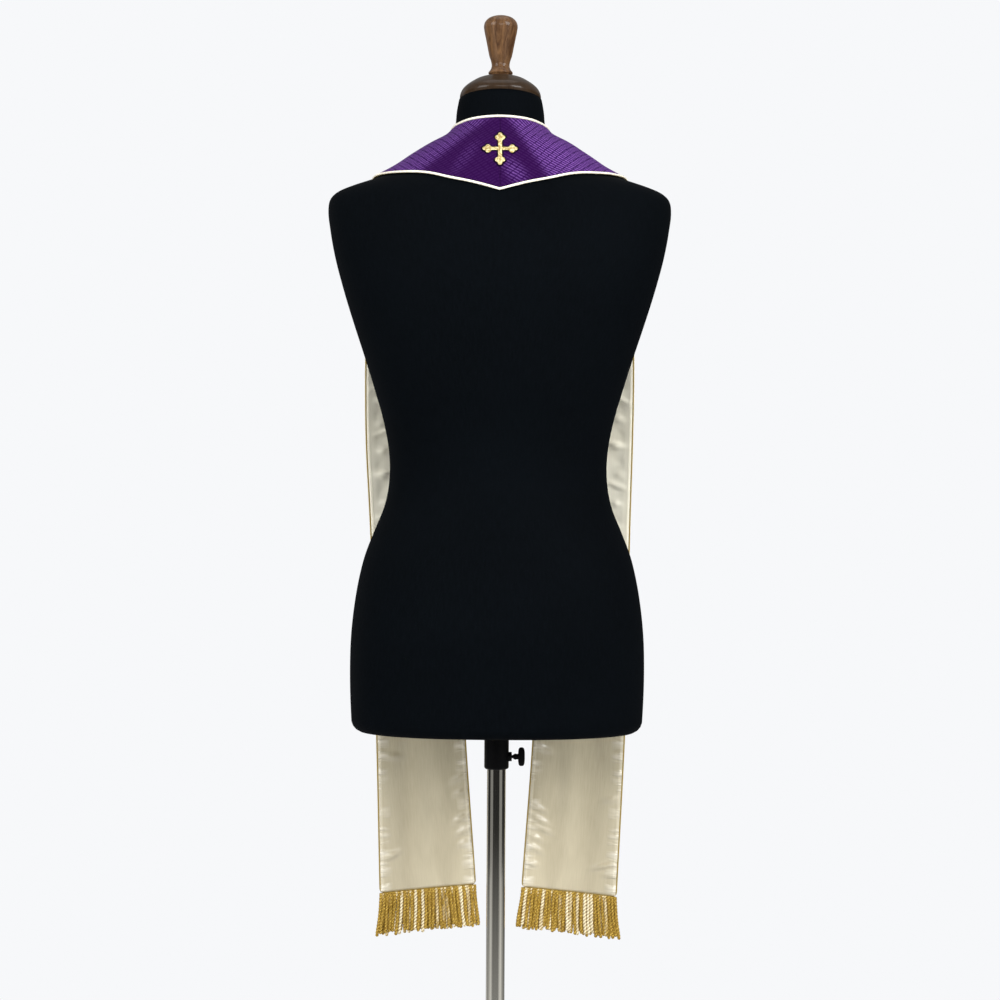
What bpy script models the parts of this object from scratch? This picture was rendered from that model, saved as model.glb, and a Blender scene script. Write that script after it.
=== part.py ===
"""A clerical stole on a limbless dress form.

The stole is two mirrored halves, seamed at the centre of the back, where they make a V. Each half is an
outer panel over a lining, with piping round its edges and a bullion fringe at its end. It lies round the
neck of a covered torso, which slides and turns on a pole with a clamp collar and a round foot.

Metres, +Z up. The origin is at the middle of the foot, on the floor. The form faces -Y, and +X is the
wearer's left.
"""

import math

import bmesh
import bpy
import numpy as np
from mathutils import Vector
from mathutils.bvhtree import BVHTree

# ---------------------------------------------------------------- driving sizes

GAP = 0.0003  # between two pieces that meet

BORE_OVERRUN = 0.010  # how far a cutter runs past the face that it opens

# Stand: radius and height above the floor, down the outer side of the foot and of the hub
FOOT_PROFILE = (
    (0.0000, 0.0080),
    (0.1660, 0.0080),
    (0.1688, 0.0068),
    (0.1700, 0.0040),
    (0.1700, 0.0000),
    (0.0000, 0.0000),
)
HUB_PROFILE = (
    (0.0000, 0.0600),
    (0.0160, 0.0600),
    (0.0170, 0.0590),
    (0.0170, 0.0203),
    (0.0220, 0.0143),
    (0.0360, 0.0123),
    (0.0360, 0.0083),
    (0.0000, 0.0083),
)
POLE_RADIUS = 0.011
POLE_CHAMFER = 0.001
POLE_BASE = 0.0123  # its lower end, inside the hub
POLE_IN_TORSO = 0.320

# Clamp collar and its screw
COLLAR_RADIUS = 0.0145
COLLAR_HEIGHT = 0.0447
COLLAR_ROUNDING = 0.002
BOSS_RADIUS = 0.0055
BOSS_REACH = 0.0180
SCREW_DROP = 0.0306  # screw axis below the torso
SCREW_RADIUS = 0.0028
GRIP_NECK_RADIUS = 0.0038
GRIP_START = 0.0188
GRIP_BAR_START = 0.0254
GRIP_BAR_SIZE = (0.0080, 0.0080, 0.0220)
GRIP_BAR_ROUNDING = 0.0025
GRIP_OVERLAP = 0.004  # how far a length of the screw runs into the next before they are joined

# Torso
TORSO_BASE = 0.720  # underside above the floor, with the form at its lowest
TORSO_SIDES = 36
HEM_ROUNDING = 0.014
HEM_STEPS = 3
CREASE_ANGLE = 50.0  # degrees between faces, past which the skin's edge is sharp

# Horizontal sections of the torso. rise is above the underside; back and front are depths from the axis.
TORSO_COLUMNS = ("rise", "half_width", "back", "front", "squareness")
TORSO_SECTIONS = (
    (0.014, 0.1712, 0.114, 0.102, 2.35),
    (0.040, 0.1725, 0.117, 0.105, 2.30),
    (0.075, 0.1731, 0.120, 0.108, 2.30),
    (0.110, 0.1722, 0.122, 0.111, 2.25),
    (0.145, 0.1688, 0.120, 0.112, 2.20),
    (0.175, 0.1640, 0.116, 0.111, 2.15),
    (0.205, 0.1568, 0.109, 0.107, 2.10),
    (0.235, 0.1455, 0.099, 0.103, 2.05),
    (0.265, 0.1335, 0.090, 0.099, 2.00),
    (0.290, 0.1287, 0.086, 0.097, 2.00),
    (0.325, 0.1285, 0.086, 0.097, 2.00),
    (0.360, 0.1345, 0.090, 0.100, 2.05),
    (0.400, 0.1458, 0.097, 0.105, 2.10),
    (0.440, 0.1583, 0.102, 0.108, 2.15),
    (0.480, 0.1715, 0.105, 0.108, 2.20),
    (0.520, 0.1838, 0.106, 0.104, 2.30),
    (0.560, 0.1942, 0.103, 0.096, 2.40),
    (0.590, 0.1995, 0.099, 0.088, 2.45),
    (0.612, 0.2018, 0.094, 0.081, 2.45),
    (0.6240, 0.2000, 0.0915, 0.0785, 2.40),
    (0.6305, 0.1940, 0.0890, 0.0765, 2.30),
    (0.6375, 0.1795, 0.0860, 0.0745, 2.20),
    (0.6440, 0.1610, 0.0835, 0.0720, 2.10),
    (0.6480, 0.1490, 0.0815, 0.0705, 2.05),
    (0.6540, 0.1370, 0.0790, 0.0685, 2.00),
    (0.6605, 0.1250, 0.0760, 0.0665, 2.00),
    (0.6755, 0.1025, 0.0690, 0.0615, 2.00),
    (0.6896, 0.0790, 0.0615, 0.0575, 2.00),
    (0.6968, 0.0650, 0.0565, 0.0550, 2.00),
    (0.7035, 0.0562, 0.0530, 0.0532, 2.00),
    (0.7130, 0.0528, 0.0505, 0.0520, 2.00),
    (0.7275, 0.0517, 0.0492, 0.0512, 2.00),
    (0.7420, 0.0490, 0.0468, 0.0485, 2.00),
)
BUST_OUT = 0.034
BUST_SIDE = 0.082
BUST_SPREAD = 0.046
BUST_HEIGHT = 1.185
BUST_RISE = 0.062

# Turned neck cap and knob: radius and height above the top of the neck.
CAP_PROFILE = (
    (0.0000, 0.0352),
    (0.0098, 0.0352),
    (0.0128, 0.0338),
    (0.0142, 0.0316),
    (0.0140, 0.0300),
    (0.0185, 0.0290),
    (0.0262, 0.0266),
    (0.0336, 0.0224),
    (0.0401, 0.0176),
    (0.0448, 0.0128),
    (0.0472, 0.0080),
    (0.0478, 0.0030),
    (0.0470, 0.0003),
    (0.0000, 0.0003),
)
KNOB_PROFILE = (
    (0.0000, 0.1012),
    (0.0086, 0.1001),
    (0.0148, 0.0970),
    (0.0185, 0.0926),
    (0.0195, 0.0880),
    (0.0189, 0.0830),
    (0.0171, 0.0740),
    (0.0153, 0.0640),
    (0.0132, 0.0530),
    (0.0110, 0.0440),
    (0.0101, 0.0395),
    (0.0104, 0.0355),
    (0.0000, 0.0355),
)

# The stole's layers, from the torso outwards
SKIN_CLEARANCE = 0.0009
FACE_CLEARANCE = 0.0008
EASING_PASSES = 6
LINING_THICKNESS = 0.0010
OUTER_THICKNESS = 0.0012
LAYERS = LINING_THICKNESS + GAP + OUTER_THICKNESS
PIPING_RADIUS = 0.0015
CORD_CLEARANCE = 0.0002
CORD_PASSES = 5
CORD_CORNER = 0.75  # how square the cord turns at the hem's corners
STOLE_SPANS = 5  # faces across its width
HANG_LEAN = -0.001  # the hanging ends swing this far along X
HANG_DROP = 0.0015  # the right end hangs this much lower, and the left end higher

# Cross lines of one half, from the centre of the back to its end. Each runs from the neck edge to the
# outer edge. crown: how far its middle stands forward. cling: 1 lies on the torso, 0 hangs clear of it.
# hang: its share of HANG_LEAN and HANG_DROP. rows: rows of faces between it and the line before.
STOLE_COLUMNS = (
    *("neck_x", "neck_y", "neck_z", "outer_x", "outer_y", "outer_z"),
    *("crown", "cling", "hang", "rows"),
)
STOLE_LINES = (
    (0.0000, 0.0500, 1.4335, 0.0000, 0.0905, 1.3462, 0.000, 1.0, 0.0, 0),
    (0.0180, 0.0470, 1.4328, 0.0300, 0.0865, 1.3545, 0.000, 1.0, 0.0, 2),
    (0.0340, 0.0386, 1.4314, 0.0600, 0.0802, 1.3610, 0.000, 1.0, 0.0, 2),
    (0.0445, 0.0270, 1.4286, 0.0895, 0.0664, 1.3672, 0.000, 1.0, 0.0, 2),
    (0.0500, 0.0147, 1.4262, 0.1150, 0.0503, 1.3690, 0.000, 1.0, 0.0, 2),
    (0.0525, 0.0050, 1.4238, 0.1345, 0.0290, 1.3692, 0.000, 1.0, 0.0, 2),
    (0.0540, -0.0070, 1.4212, 0.1455, 0.0020, 1.3685, 0.000, 1.0, 0.0, 2),
    (0.0552, -0.0240, 1.4150, 0.1490, -0.0250, 1.3640, 0.000, 0.9, 0.0, 2),
    (0.0565, -0.0430, 1.4040, 0.1525, -0.0465, 1.3530, 0.001, 0.6, 0.1, 2),
    (0.0575, -0.0600, 1.3780, 0.1558, -0.0660, 1.3240, 0.003, 0.2, 0.3, 2),
    (0.0585, -0.0775, 1.3350, 0.1590, -0.0800, 1.2780, 0.004, 0.0, 0.5, 3),
    (0.0590, -0.0970, 1.2820, 0.1612, -0.0955, 1.2300, 0.009, 0.0, 0.7, 3),
    (0.0590, -0.1180, 1.2250, 0.1625, -0.1095, 1.1780, 0.013, 0.0, 0.9, 3),
    (0.0585, -0.1330, 1.1800, 0.1632, -0.1190, 1.1380, 0.014, 0.0, 1.0, 2),
    (0.0565, -0.1390, 1.1000, 0.1625, -0.1240, 1.0660, 0.012, 0.0, 1.0, 3),
    (0.0520, -0.1410, 0.9600, 0.1595, -0.1290, 0.9360, 0.008, 0.0, 1.0, 4),
    (0.0450, -0.1430, 0.7350, 0.1515, -0.1340, 0.7200, 0.005, 0.0, 1.0, 4),
    (0.0325, -0.1440, 0.5130, 0.1435, -0.1370, 0.5030, 0.003, 0.0, 1.0, 4),
)

# Fringe
STRANDS = 28
HEADING_HEIGHT = 0.0040
HEADING_THICKNESS = 0.0026
STRAND_INSET = 0.0004
STRAND_LENGTH = 0.0500
STRAND_BEND = 0.45  # share of its length above the bend
STRAND_UNEVEN = ((0.035, 2.6), (0.020, 5.3))  # shares of length, each with its rate from strand to strand
STRAND_SPREAD = 0.006  # how far the outermost strands splay
STRAND_SWAY = 0.0009
STRAND_SWAY_RATES = (2.4, 4.0)  # from strand to strand, and along one

# Budded cross at the back of the neck
CROSS_HEIGHT = 1.3945
CROSS_ARM = 0.0135  # centre to the middle of a bud
CROSS_ARM_WIDTH = 0.0052
CROSS_BUD = 0.0044
CROSS_BUD_LOBE = 0.0024
CROSS_BUD_SWEEP = 132.0  # degrees either side of the arm's direction
CROSS_BUD_POINTS = 17
CROSS_ARM_OVERLAP = 0.0033  # how far an arm runs into its bud
CROSS_THICKNESS = 0.0012
CROSS_SEAT = 0.0005
BEHIND_BACK = 0.3  # Y from which points are dropped onto the panels

# ---------------------------------------------------------------- helpers


def column(table, columns, name):
    """One named column of a table."""
    return np.array([row[columns.index(name)] for row in table])


def smooth_through(values, knots, at):
    """A curve through values at the knots: cubics whose slopes at a knot are the mean slope there."""
    slopes = np.gradient(values, knots)
    piece = np.clip(np.searchsorted(knots, at, side="right") - 1, 0, len(knots) - 2)
    width = knots[piece + 1] - knots[piece]
    t = (at - knots[piece]) / width
    return (
        (1 + 2 * t) * (1 - t) ** 2 * values[piece]
        + t * (1 - t) ** 2 * width * slopes[piece]
        + t**2 * (3 - 2 * t) * values[piece + 1]
        + t**2 * (t - 1) * width * slopes[piece + 1]
    )


def unit(vectors):
    return vectors / np.linalg.norm(vectors, axis=-1, keepdims=True)


def collection_named(name):
    collection = bpy.data.collections.new(name)
    bpy.context.scene.collection.children.link(collection)
    return collection


def material_named(name, color, roughness, metallic=0.0):
    material = bpy.data.materials.new(name)
    material.use_nodes = True
    shader = material.node_tree.nodes["Principled BSDF"]
    shader.inputs["Base Color"].default_value = (*color, 1.0)
    shader.inputs["Roughness"].default_value = roughness
    shader.inputs["Metallic"].default_value = metallic
    return material


def add_object(name, data, material=None, cutter=False):
    thing = bpy.data.objects.new(name, data)
    if cutter:
        thing.hide_render = True
        thing.display_type = "WIRE"
        CUTTERS.objects.link(thing)
    else:
        PARTS.objects.link(thing)
        data.materials.append(material)
    return thing


def mesh_from(name, vertices, faces):
    mesh = bpy.data.meshes.new(name)
    mesh.from_pydata([tuple(v) for v in vertices], [], [tuple(f) for f in faces])
    mesh.update()
    return mesh


def mesh_from_bmesh(name, built):
    mesh = bpy.data.meshes.new(name)
    built.to_mesh(mesh)
    built.free()
    return mesh


def cylinder_mesh(name, radius, start, end, sides=24):
    """A closed cylinder from start to end."""
    start, end = Vector(start), Vector(end)
    built = bmesh.new()
    bmesh.ops.create_cone(
        built, cap_ends=True, segments=sides, radius1=radius, radius2=radius, depth=(end - start).length
    )
    turn = (end - start).to_track_quat("Z", "Y").to_matrix().to_4x4()
    turn.translation = (start + end) / 2
    built.transform(turn)
    return mesh_from_bmesh(name, built)


def turned(name, profile, material, lift=0.0, steps=32):
    """A solid turned about Z from a profile of radius and height that runs down its outer side."""
    built = bmesh.new()
    points = [built.verts.new((radius, 0.0, height + lift)) for radius, height in profile]
    for upper, lower in zip(points, points[1:]):
        built.edges.new((upper, lower))
    thing = add_object(name, mesh_from_bmesh(name, built), material)
    screw = thing.modifiers.new("turn", "SCREW")
    screw.steps = screw.render_steps = steps
    screw.use_merge_vertices = True
    screw.merge_threshold = 0.00001
    screw.use_smooth_shade = True
    return thing


def boolean(thing, other, operation):
    modifier = thing.modifiers.new(operation.lower(), "BOOLEAN")
    modifier.operation = operation
    modifier.solver = "EXACT"
    modifier.object = other


# ---------------------------------------------------------------- torso


def torso_points():
    """Rings of points up the torso: superellipses through the sections, with the bust pushed out."""
    rise = column(TORSO_SECTIONS, TORSO_COLUMNS, "rise")
    half_width = column(TORSO_SECTIONS, TORSO_COLUMNS, "half_width")
    back = column(TORSO_SECTIONS, TORSO_COLUMNS, "back")
    front = column(TORSO_SECTIONS, TORSO_COLUMNS, "front")
    squareness = column(TORSO_SECTIONS, TORSO_COLUMNS, "squareness")
    bend = np.linspace(0.0, math.pi / 2, HEM_STEPS + 1)[:-1]
    hem_inset = HEM_ROUNDING * (1 - np.sin(bend))
    rise = np.concatenate([HEM_ROUNDING * (1 - np.cos(bend)), rise])
    half_width = np.concatenate([half_width[0] - hem_inset, half_width])
    back = np.concatenate([back[0] - hem_inset, back])
    front = np.concatenate([front[0] - hem_inset, front])
    squareness = np.concatenate([np.full(HEM_STEPS, squareness[0]), squareness])

    angle = np.linspace(0.0, 2 * math.pi, TORSO_SIDES, endpoint=False)[None, :]
    power = 2.0 / squareness[:, None]
    x = half_width[:, None] * np.sign(np.cos(angle)) * np.abs(np.cos(angle)) ** power
    depth = np.where(np.sin(angle) > 0, back[:, None], front[:, None])
    y = depth * np.sign(np.sin(angle)) * np.abs(np.sin(angle)) ** power
    z = np.broadcast_to(TORSO_BASE + rise[:, None], x.shape)
    bust = np.exp(-(((np.abs(x) - BUST_SIDE) / BUST_SPREAD) ** 2) - ((z - BUST_HEIGHT) / BUST_RISE) ** 2)
    facing = np.clip(-np.sin(angle), 0.0, 1.0) ** 0.5
    return np.stack([x, y - BUST_OUT * bust * facing, z], axis=-1)


def torso_mesh():
    rings = torso_points()
    count, sides = rings.shape[:2]
    faces = [
        (r * sides + s, r * sides + (s + 1) % sides, (r + 1) * sides + (s + 1) % sides, (r + 1) * sides + s)
        for r in range(count - 1)
        for s in range(sides)
    ]
    faces.append(range(sides - 1, -1, -1))
    faces.append(range((count - 1) * sides, count * sides))
    mesh = mesh_from("form_torso", rings.reshape(-1, 3), faces)
    built = bmesh.new()
    built.from_mesh(mesh)
    bmesh.ops.triangulate(built, faces=built.faces)
    built.to_mesh(mesh)
    built.free()
    mesh.shade_smooth()
    mesh.set_sharp_from_angle(angle=math.radians(CREASE_ANGLE))
    return mesh


def skin_tree(mesh):
    """The torso's skin, for finding the point on it nearest to another."""
    return BVHTree.FromPolygons([v.co for v in mesh.vertices], [p.vertices for p in mesh.polygons])


# ---------------------------------------------------------------- stole


def face_samples():
    """Shares of a face's four corners: points along its edges and diagonals, and in its triangles."""
    samples = []
    for first in range(4):
        for second in range(first + 1, 4):
            for share in (0.25, 0.5, 0.75):
                weights = np.zeros(4)
                weights[first], weights[second] = 1 - share, share
                samples.append(weights)
        samples.append((1 - np.eye(4)[first]) / 3)
    return samples


def ease_off(grid, skin):
    """Moves the corners of each face out until the whole face clears the torso."""
    samples = face_samples()
    for row in range(len(grid) - 1):
        for place in range(STOLE_SPANS):
            face = grid[row : row + 2, place : place + 2]
            move = np.zeros(3)
            for weights in samples:
                point = Vector(weights @ face.reshape(4, 3))
                spot, normal, _, _ = skin.find_nearest(point)
                short = FACE_CLEARANCE - (point - spot).dot(normal)
                if short > np.linalg.norm(move):
                    move = np.array(normal) * short
            grid[row : row + 2, place : place + 2] += move


def stole_points(side, skin):
    """One half's under side as a grid, rows by spans, and the outward direction at each point.

    The cross lines are carried smoothly into rows, and a row that clings is moved onto the skin. The rest
    is then drawn taut along its length and moved out of the torso, by turns.
    """
    rows = np.cumsum(column(STOLE_LINES, STOLE_COLUMNS, "rows")).astype(float)
    at = np.arange(rows[-1] + 1)
    data = {}
    for name in STOLE_COLUMNS[:-1]:
        data[name] = smooth_through(column(STOLE_LINES, STOLE_COLUMNS, name), rows, at)
    neck = np.stack([data["neck_x"], data["neck_y"], data["neck_z"]], axis=-1)
    outer = np.stack([data["outer_x"], data["outer_y"], data["outer_z"]], axis=-1)
    across = np.linspace(0.0, 1.0, STOLE_SPANS + 1)
    grid = neck[:, None] + (outer - neck)[:, None] * across[None, :, None]
    grid[..., 1] -= data["crown"][:, None] * 4 * across * (1 - across)
    grid[..., 0] = side * grid[..., 0] + HANG_LEAN * data["hang"][:, None]
    grid[..., 2] += side * HANG_DROP * data["hang"][:, None]

    data["cling"] = np.clip(data["cling"], 0.0, 1.0)
    for row, cling in enumerate(data["cling"]):
        for place in range(STOLE_SPANS + 1):
            point = Vector(grid[row, place])
            spot, normal, _, _ = skin.find_nearest(point)
            lying = spot + normal * SKIN_CLEARANCE
            hanging = point if (point - spot).dot(normal) > SKIN_CLEARANCE else lying
            grid[row, place] = hanging.lerp(lying, cling)
    slack = 1 - data["cling"][1:-1, None, None]
    for _ in range(EASING_PASSES):
        grid[1:-1] += slack * (grid[:-2] - 2 * grid[1:-1] + grid[2:]) / 4
        ease_off(grid, skin)
    grid[0, :, 0] = side * GAP / 2
    along = np.gradient(grid, axis=0)
    over = np.gradient(grid, axis=1)
    out = unit(side * np.cross(along, over))
    out[0, :, 0] = 0.0
    return grid, unit(out)


def sheet(name, grid, side, thickness, material):
    """A closed wall: the grid as an open surface, thickened outwards."""
    rows, places = grid.shape[:2]
    faces = []
    for r in range(rows - 1):
        for p in range(places - 1):
            corner = r * places + p
            face = (corner, corner + places, corner + places + 1, corner + 1)
            faces.append(face if side > 0 else face[::-1])
    mesh = mesh_from(name, grid.reshape(-1, 3), faces)
    mesh.shade_smooth()
    thing = add_object(name, mesh, material)
    solidify = thing.modifiers.new("thickness", "SOLIDIFY")
    solidify.thickness = thickness
    solidify.offset = 1.0
    solidify.use_even_offset = True
    thing.modifiers.new("shading", "WEIGHTED_NORMAL")
    return thing


def beside_edge(edge, out, beyond, skin):
    """Where a cord runs beside an edge of the two layers, clear of its whole depth and of the torso."""
    reach = PIPING_RADIUS + GAP + CORD_CLEARANCE
    run = edge + out * LAYERS / 2 + beyond * reach
    for row, point in enumerate(run):
        for _ in range(CORD_PASSES):
            spot, normal, _, _ = skin.find_nearest(Vector(point))
            away = np.array(normal)
            point += away * max(0.0, reach - (point - np.array(spot)) @ away)
            nearest = edge[row] + out[row] * np.clip((point - edge[row]) @ out[row], 0.0, LAYERS)
            distance = np.linalg.norm(point - nearest)
            point += (point - nearest) / distance * max(0.0, reach - distance)
    return run


def piping(name, grid, out, side, skin, material):
    """A cord round the neck edge, the hem and the outer edge, level with the middle of the two layers."""
    runs = []
    for place, inner in ((0, 1), (-1, -2)):
        run = beside_edge(grid[:, place], out[:, place], unit(grid[:, place] - grid[:, inner]), skin)
        run[0, 0] = side * GAP / 2
        level = run[0] + np.array([side * PIPING_RADIUS, 0.0, 0.0])
        runs.append(np.vstack([run[:1], level[None], run[1:]]))
    hem = beside_edge(grid[-1], out[-1], unit(grid[-1] - grid[-2]), skin)
    corners = [
        hem[place] + (runs[number][-1] - grid[-1, place] - out[-1, place] * LAYERS / 2) * CORD_CORNER
        for number, place in ((0, 0), (1, -1))
    ]
    path = np.vstack([runs[0], corners[:1], hem[1:-1], corners[1:], runs[1][::-1]])
    curve = bpy.data.curves.new(name, "CURVE")
    curve.dimensions = "3D"
    curve.bevel_depth = PIPING_RADIUS
    curve.bevel_resolution = 1
    curve.render_resolution_u = 0
    curve.use_fill_caps = True
    spline = curve.splines.new("POLY")
    spline.points.add(len(path) - 1)
    for point, place in zip(spline.points, path):
        point.co = (*place, 1.0)
    return add_object(name, curve, material)


def fringe(name, grid, out, material):
    """A heading along the hem, whose underside is divided into cells, each drawn out into a strand."""
    middle = grid + out * LAYERS / 2
    down = unit(middle[-1] - middle[-2])
    top = middle[-1] + down * (2 * PIPING_RADIUS + 2 * GAP)
    places = np.linspace(0.0, 1.0, STOLE_SPANS + 1)
    cells = np.linspace(0.0, 1.0, STRANDS + 1)

    def along(values):
        return np.stack([np.interp(cells, places, values[:, axis]) for axis in range(3)], axis=-1)

    top, down, out = along(top), unit(along(down)), unit(along(out[-1]))
    built = bmesh.new()
    loops = []
    for drop, face in ((0.0, 0.5), (0.0, -0.5), (HEADING_HEIGHT, -0.5), (HEADING_HEIGHT, 0.5)):
        places = top + down * drop + out * HEADING_THICKNESS * face
        loops.append([built.verts.new(place) for place in places])
    bottoms = []
    for cell in range(STRANDS):
        for first, second in ((0, 1), (1, 2), (2, 3), (3, 0)):
            upper, lower = loops[first], loops[second]
            face = built.faces.new((upper[cell], upper[cell + 1], lower[cell + 1], lower[cell]))
            if first == 2:
                bottoms.append(face)
    for cell in (0, STRANDS):
        built.faces.new([loop[cell] for loop in loops])
    bmesh.ops.recalc_face_normals(built, faces=built.faces)

    bmesh.ops.inset_individual(built, faces=bottoms, thickness=STRAND_INSET, use_even_offset=True)
    for step in (STRAND_BEND, 1 - STRAND_BEND):
        drawn = bmesh.ops.extrude_discrete_faces(built, faces=bottoms)["faces"]
        for number, face in enumerate(drawn):
            share = (number + 0.5) / STRANDS
            uneven = sum(amount * math.sin(rate * number) for amount, rate in STRAND_UNEVEN)
            splay = unit(top[-1] - top[0]) * STRAND_SPREAD * (2 * share - 1) * step
            phase = STRAND_SWAY_RATES[0] * number + STRAND_SWAY_RATES[1] * step
            move = down[number] * STRAND_LENGTH * (1 + uneven) * step + splay
            bmesh.ops.translate(
                built, verts=face.verts, vec=move + out[number] * STRAND_SWAY * math.sin(phase)
            )
        bottoms = drawn
    return add_object(name, mesh_from_bmesh(name, built), material)


def cross_outline():
    """Flat faces of the budded cross: a centre square and four arms, each ending in a three-lobed bud."""
    half = CROSS_ARM_WIDTH / 2
    built = bmesh.new()
    corners = ((-half, -half, 0.0), (half, -half, 0.0), (half, half, 0.0), (-half, half, 0.0))
    built.faces.new([built.verts.new(corner) for corner in corners])
    stations = np.linspace(half, CROSS_ARM - CROSS_ARM_OVERLAP, 3)
    lobes = np.radians(np.linspace(-CROSS_BUD_SWEEP, CROSS_BUD_SWEEP, CROSS_BUD_POINTS))
    radii = CROSS_BUD + CROSS_BUD_LOBE * np.abs(np.cos(1.5 * lobes))
    for quarter in range(4):
        turn = np.array([[0, -1], [1, 0]], dtype=float)
        turn = np.linalg.matrix_power(turn, quarter)

        def vertex(x, y):
            return built.verts.new((*(turn @ np.array([x, y])), 0.0))

        sides = [(vertex(x, -half), vertex(x, half)) for x in stations]
        for near, far in zip(sides, sides[1:]):
            built.faces.new((near[0], far[0], far[1], near[1]))
        middle = vertex(CROSS_ARM, 0.0)
        rim = [sides[-1][0]]
        rim += [vertex(CROSS_ARM + r * math.cos(a), r * math.sin(a)) for r, a in zip(radii, lobes)]
        rim += [sides[-1][1]]
        for first, second in zip(rim, rim[1:] + rim[:1]):
            built.faces.new((middle, first, second))
    bmesh.ops.remove_doubles(built, verts=built.verts, dist=0.00001)
    bmesh.ops.recalc_face_normals(built, faces=built.faces)
    return built


def front_of(panels, x, z):
    """The outermost point of the panels behind (x, z), and its normal."""
    hits = [panel.ray_cast(Vector((x, BEHIND_BACK, z)), Vector((0, -1, 0)))[:2] for panel in panels]
    return max((hit for hit in hits if hit[0]), key=lambda hit: hit[0].y)


def back_cross(outer_panels, material):
    """The cross laid on the two outer panels: each point is dropped onto them and moved out by the gap."""
    depsgraph = bpy.context.evaluated_depsgraph_get()
    panels = [BVHTree.FromObject(panel, depsgraph) for panel in outer_panels]
    built = cross_outline()
    _, normal = front_of(panels, GAP, CROSS_HEIGHT)
    lean = normal.y / math.hypot(normal.y, normal.z)
    for vertex in built.verts:
        x = vertex.co.x if abs(vertex.co.x) > GAP else GAP
        spot, normal = front_of(panels, x, CROSS_HEIGHT + vertex.co.y * lean)
        vertex.co = spot + normal * CROSS_SEAT
    bmesh.ops.recalc_face_normals(built, faces=built.faces)
    if sum(face.normal.y for face in built.faces) < 0:
        bmesh.ops.reverse_faces(built, faces=built.faces)
    thing = add_object("stole_back_cross", mesh_from_bmesh("stole_back_cross", built), material)
    solidify = thing.modifiers.new("thickness", "SOLIDIFY")
    solidify.thickness = CROSS_THICKNESS
    solidify.offset = 1.0
    return thing


def make_stole(skin):
    panels = []
    for side, word in ((1, "left"), (-1, "right")):
        grid, out = stole_points(side, skin)
        sheet(f"stole_lining_{word}", grid, side, LINING_THICKNESS, SATIN)
        outer_grid = grid + out * (LINING_THICKNESS + GAP)
        panels.append(sheet(f"stole_outer_{word}", outer_grid, side, OUTER_THICKNESS, BROCADE))
        piping(f"stole_piping_{word}", grid, out, side, skin, CORD)
        fringe(f"stole_fringe_{word}", grid, out, BULLION)
    back_cross(panels, GOLD_THREAD)


# ---------------------------------------------------------------- form and stand


def make_form():
    torso = add_object("form_torso", torso_mesh(), JERSEY)
    low, high = TORSO_BASE - BORE_OVERRUN, TORSO_BASE + POLE_IN_TORSO + GAP
    bore = cylinder_mesh("pole_bore", POLE_RADIUS + GAP, (0, 0, low), (0, 0, high))
    boolean(torso, add_object("pole_bore", bore, cutter=True), "DIFFERENCE")
    neck_top = TORSO_BASE + TORSO_SECTIONS[-1][0]
    turned("form_neck_cap", CAP_PROFILE, WALNUT, neck_top, steps=28)
    turned("form_knob", KNOB_PROFILE, WALNUT, neck_top, steps=20)
    return torso


def make_collar():
    top = TORSO_BASE - GAP
    bottom = top - COLLAR_HEIGHT
    profile = (
        (0.0, top),
        (COLLAR_RADIUS, top),
        (COLLAR_RADIUS, bottom + COLLAR_ROUNDING),
        (COLLAR_RADIUS - COLLAR_ROUNDING, bottom),
        (0.0, bottom),
    )
    collar = turned("form_collar", profile, MOULDED_BLACK, steps=28)
    height = TORSO_BASE - SCREW_DROP
    boss = cylinder_mesh("boss", BOSS_RADIUS, (-POLE_RADIUS, 0, height), (-BOSS_REACH, 0, height), sides=16)
    boolean(collar, add_object("boss", boss, cutter=True), "UNION")
    low, high = bottom - BORE_OVERRUN, top + BORE_OVERRUN
    bore = cylinder_mesh("collar_bore", POLE_RADIUS + GAP, (0, 0, low), (0, 0, high))
    boolean(collar, add_object("collar_bore", bore, cutter=True), "DIFFERENCE")
    reach = BOSS_REACH + BORE_OVERRUN
    hole = cylinder_mesh("screw_hole", SCREW_RADIUS + GAP, (0, 0, height), (-reach, 0, height), sides=16)
    boolean(collar, add_object("screw_hole", hole, cutter=True), "DIFFERENCE")


def make_clamp_screw():
    """A T-shaped grip whose screw passes through the collar to just short of the pole."""
    height = TORSO_BASE - SCREW_DROP
    built = bmesh.new()
    bmesh.ops.create_cube(built, size=1.0)
    bmesh.ops.scale(built, vec=GRIP_BAR_SIZE, verts=built.verts)
    bmesh.ops.translate(built, vec=(-GRIP_BAR_START - GRIP_BAR_SIZE[0] / 2, 0.0, 0.0), verts=built.verts)
    grip = add_object("clamp_screw", mesh_from_bmesh("clamp_screw", built), MOULDED_BLACK)
    grip.location.z = height
    bevel = grip.modifiers.new("rounding", "BEVEL")
    bevel.width = GRIP_BAR_ROUNDING
    bevel.segments = 2
    for name, radius, start, end in (
        ("grip_neck", GRIP_NECK_RADIUS, GRIP_START, GRIP_BAR_START + GRIP_OVERLAP),
        ("screw_shank", SCREW_RADIUS, POLE_RADIUS + GAP, GRIP_START + GRIP_OVERLAP),
    ):
        rod = cylinder_mesh(name, radius, (-start, 0, height), (-end, 0, height), sides=16)
        boolean(grip, add_object(name, rod, cutter=True), "UNION")


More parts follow.
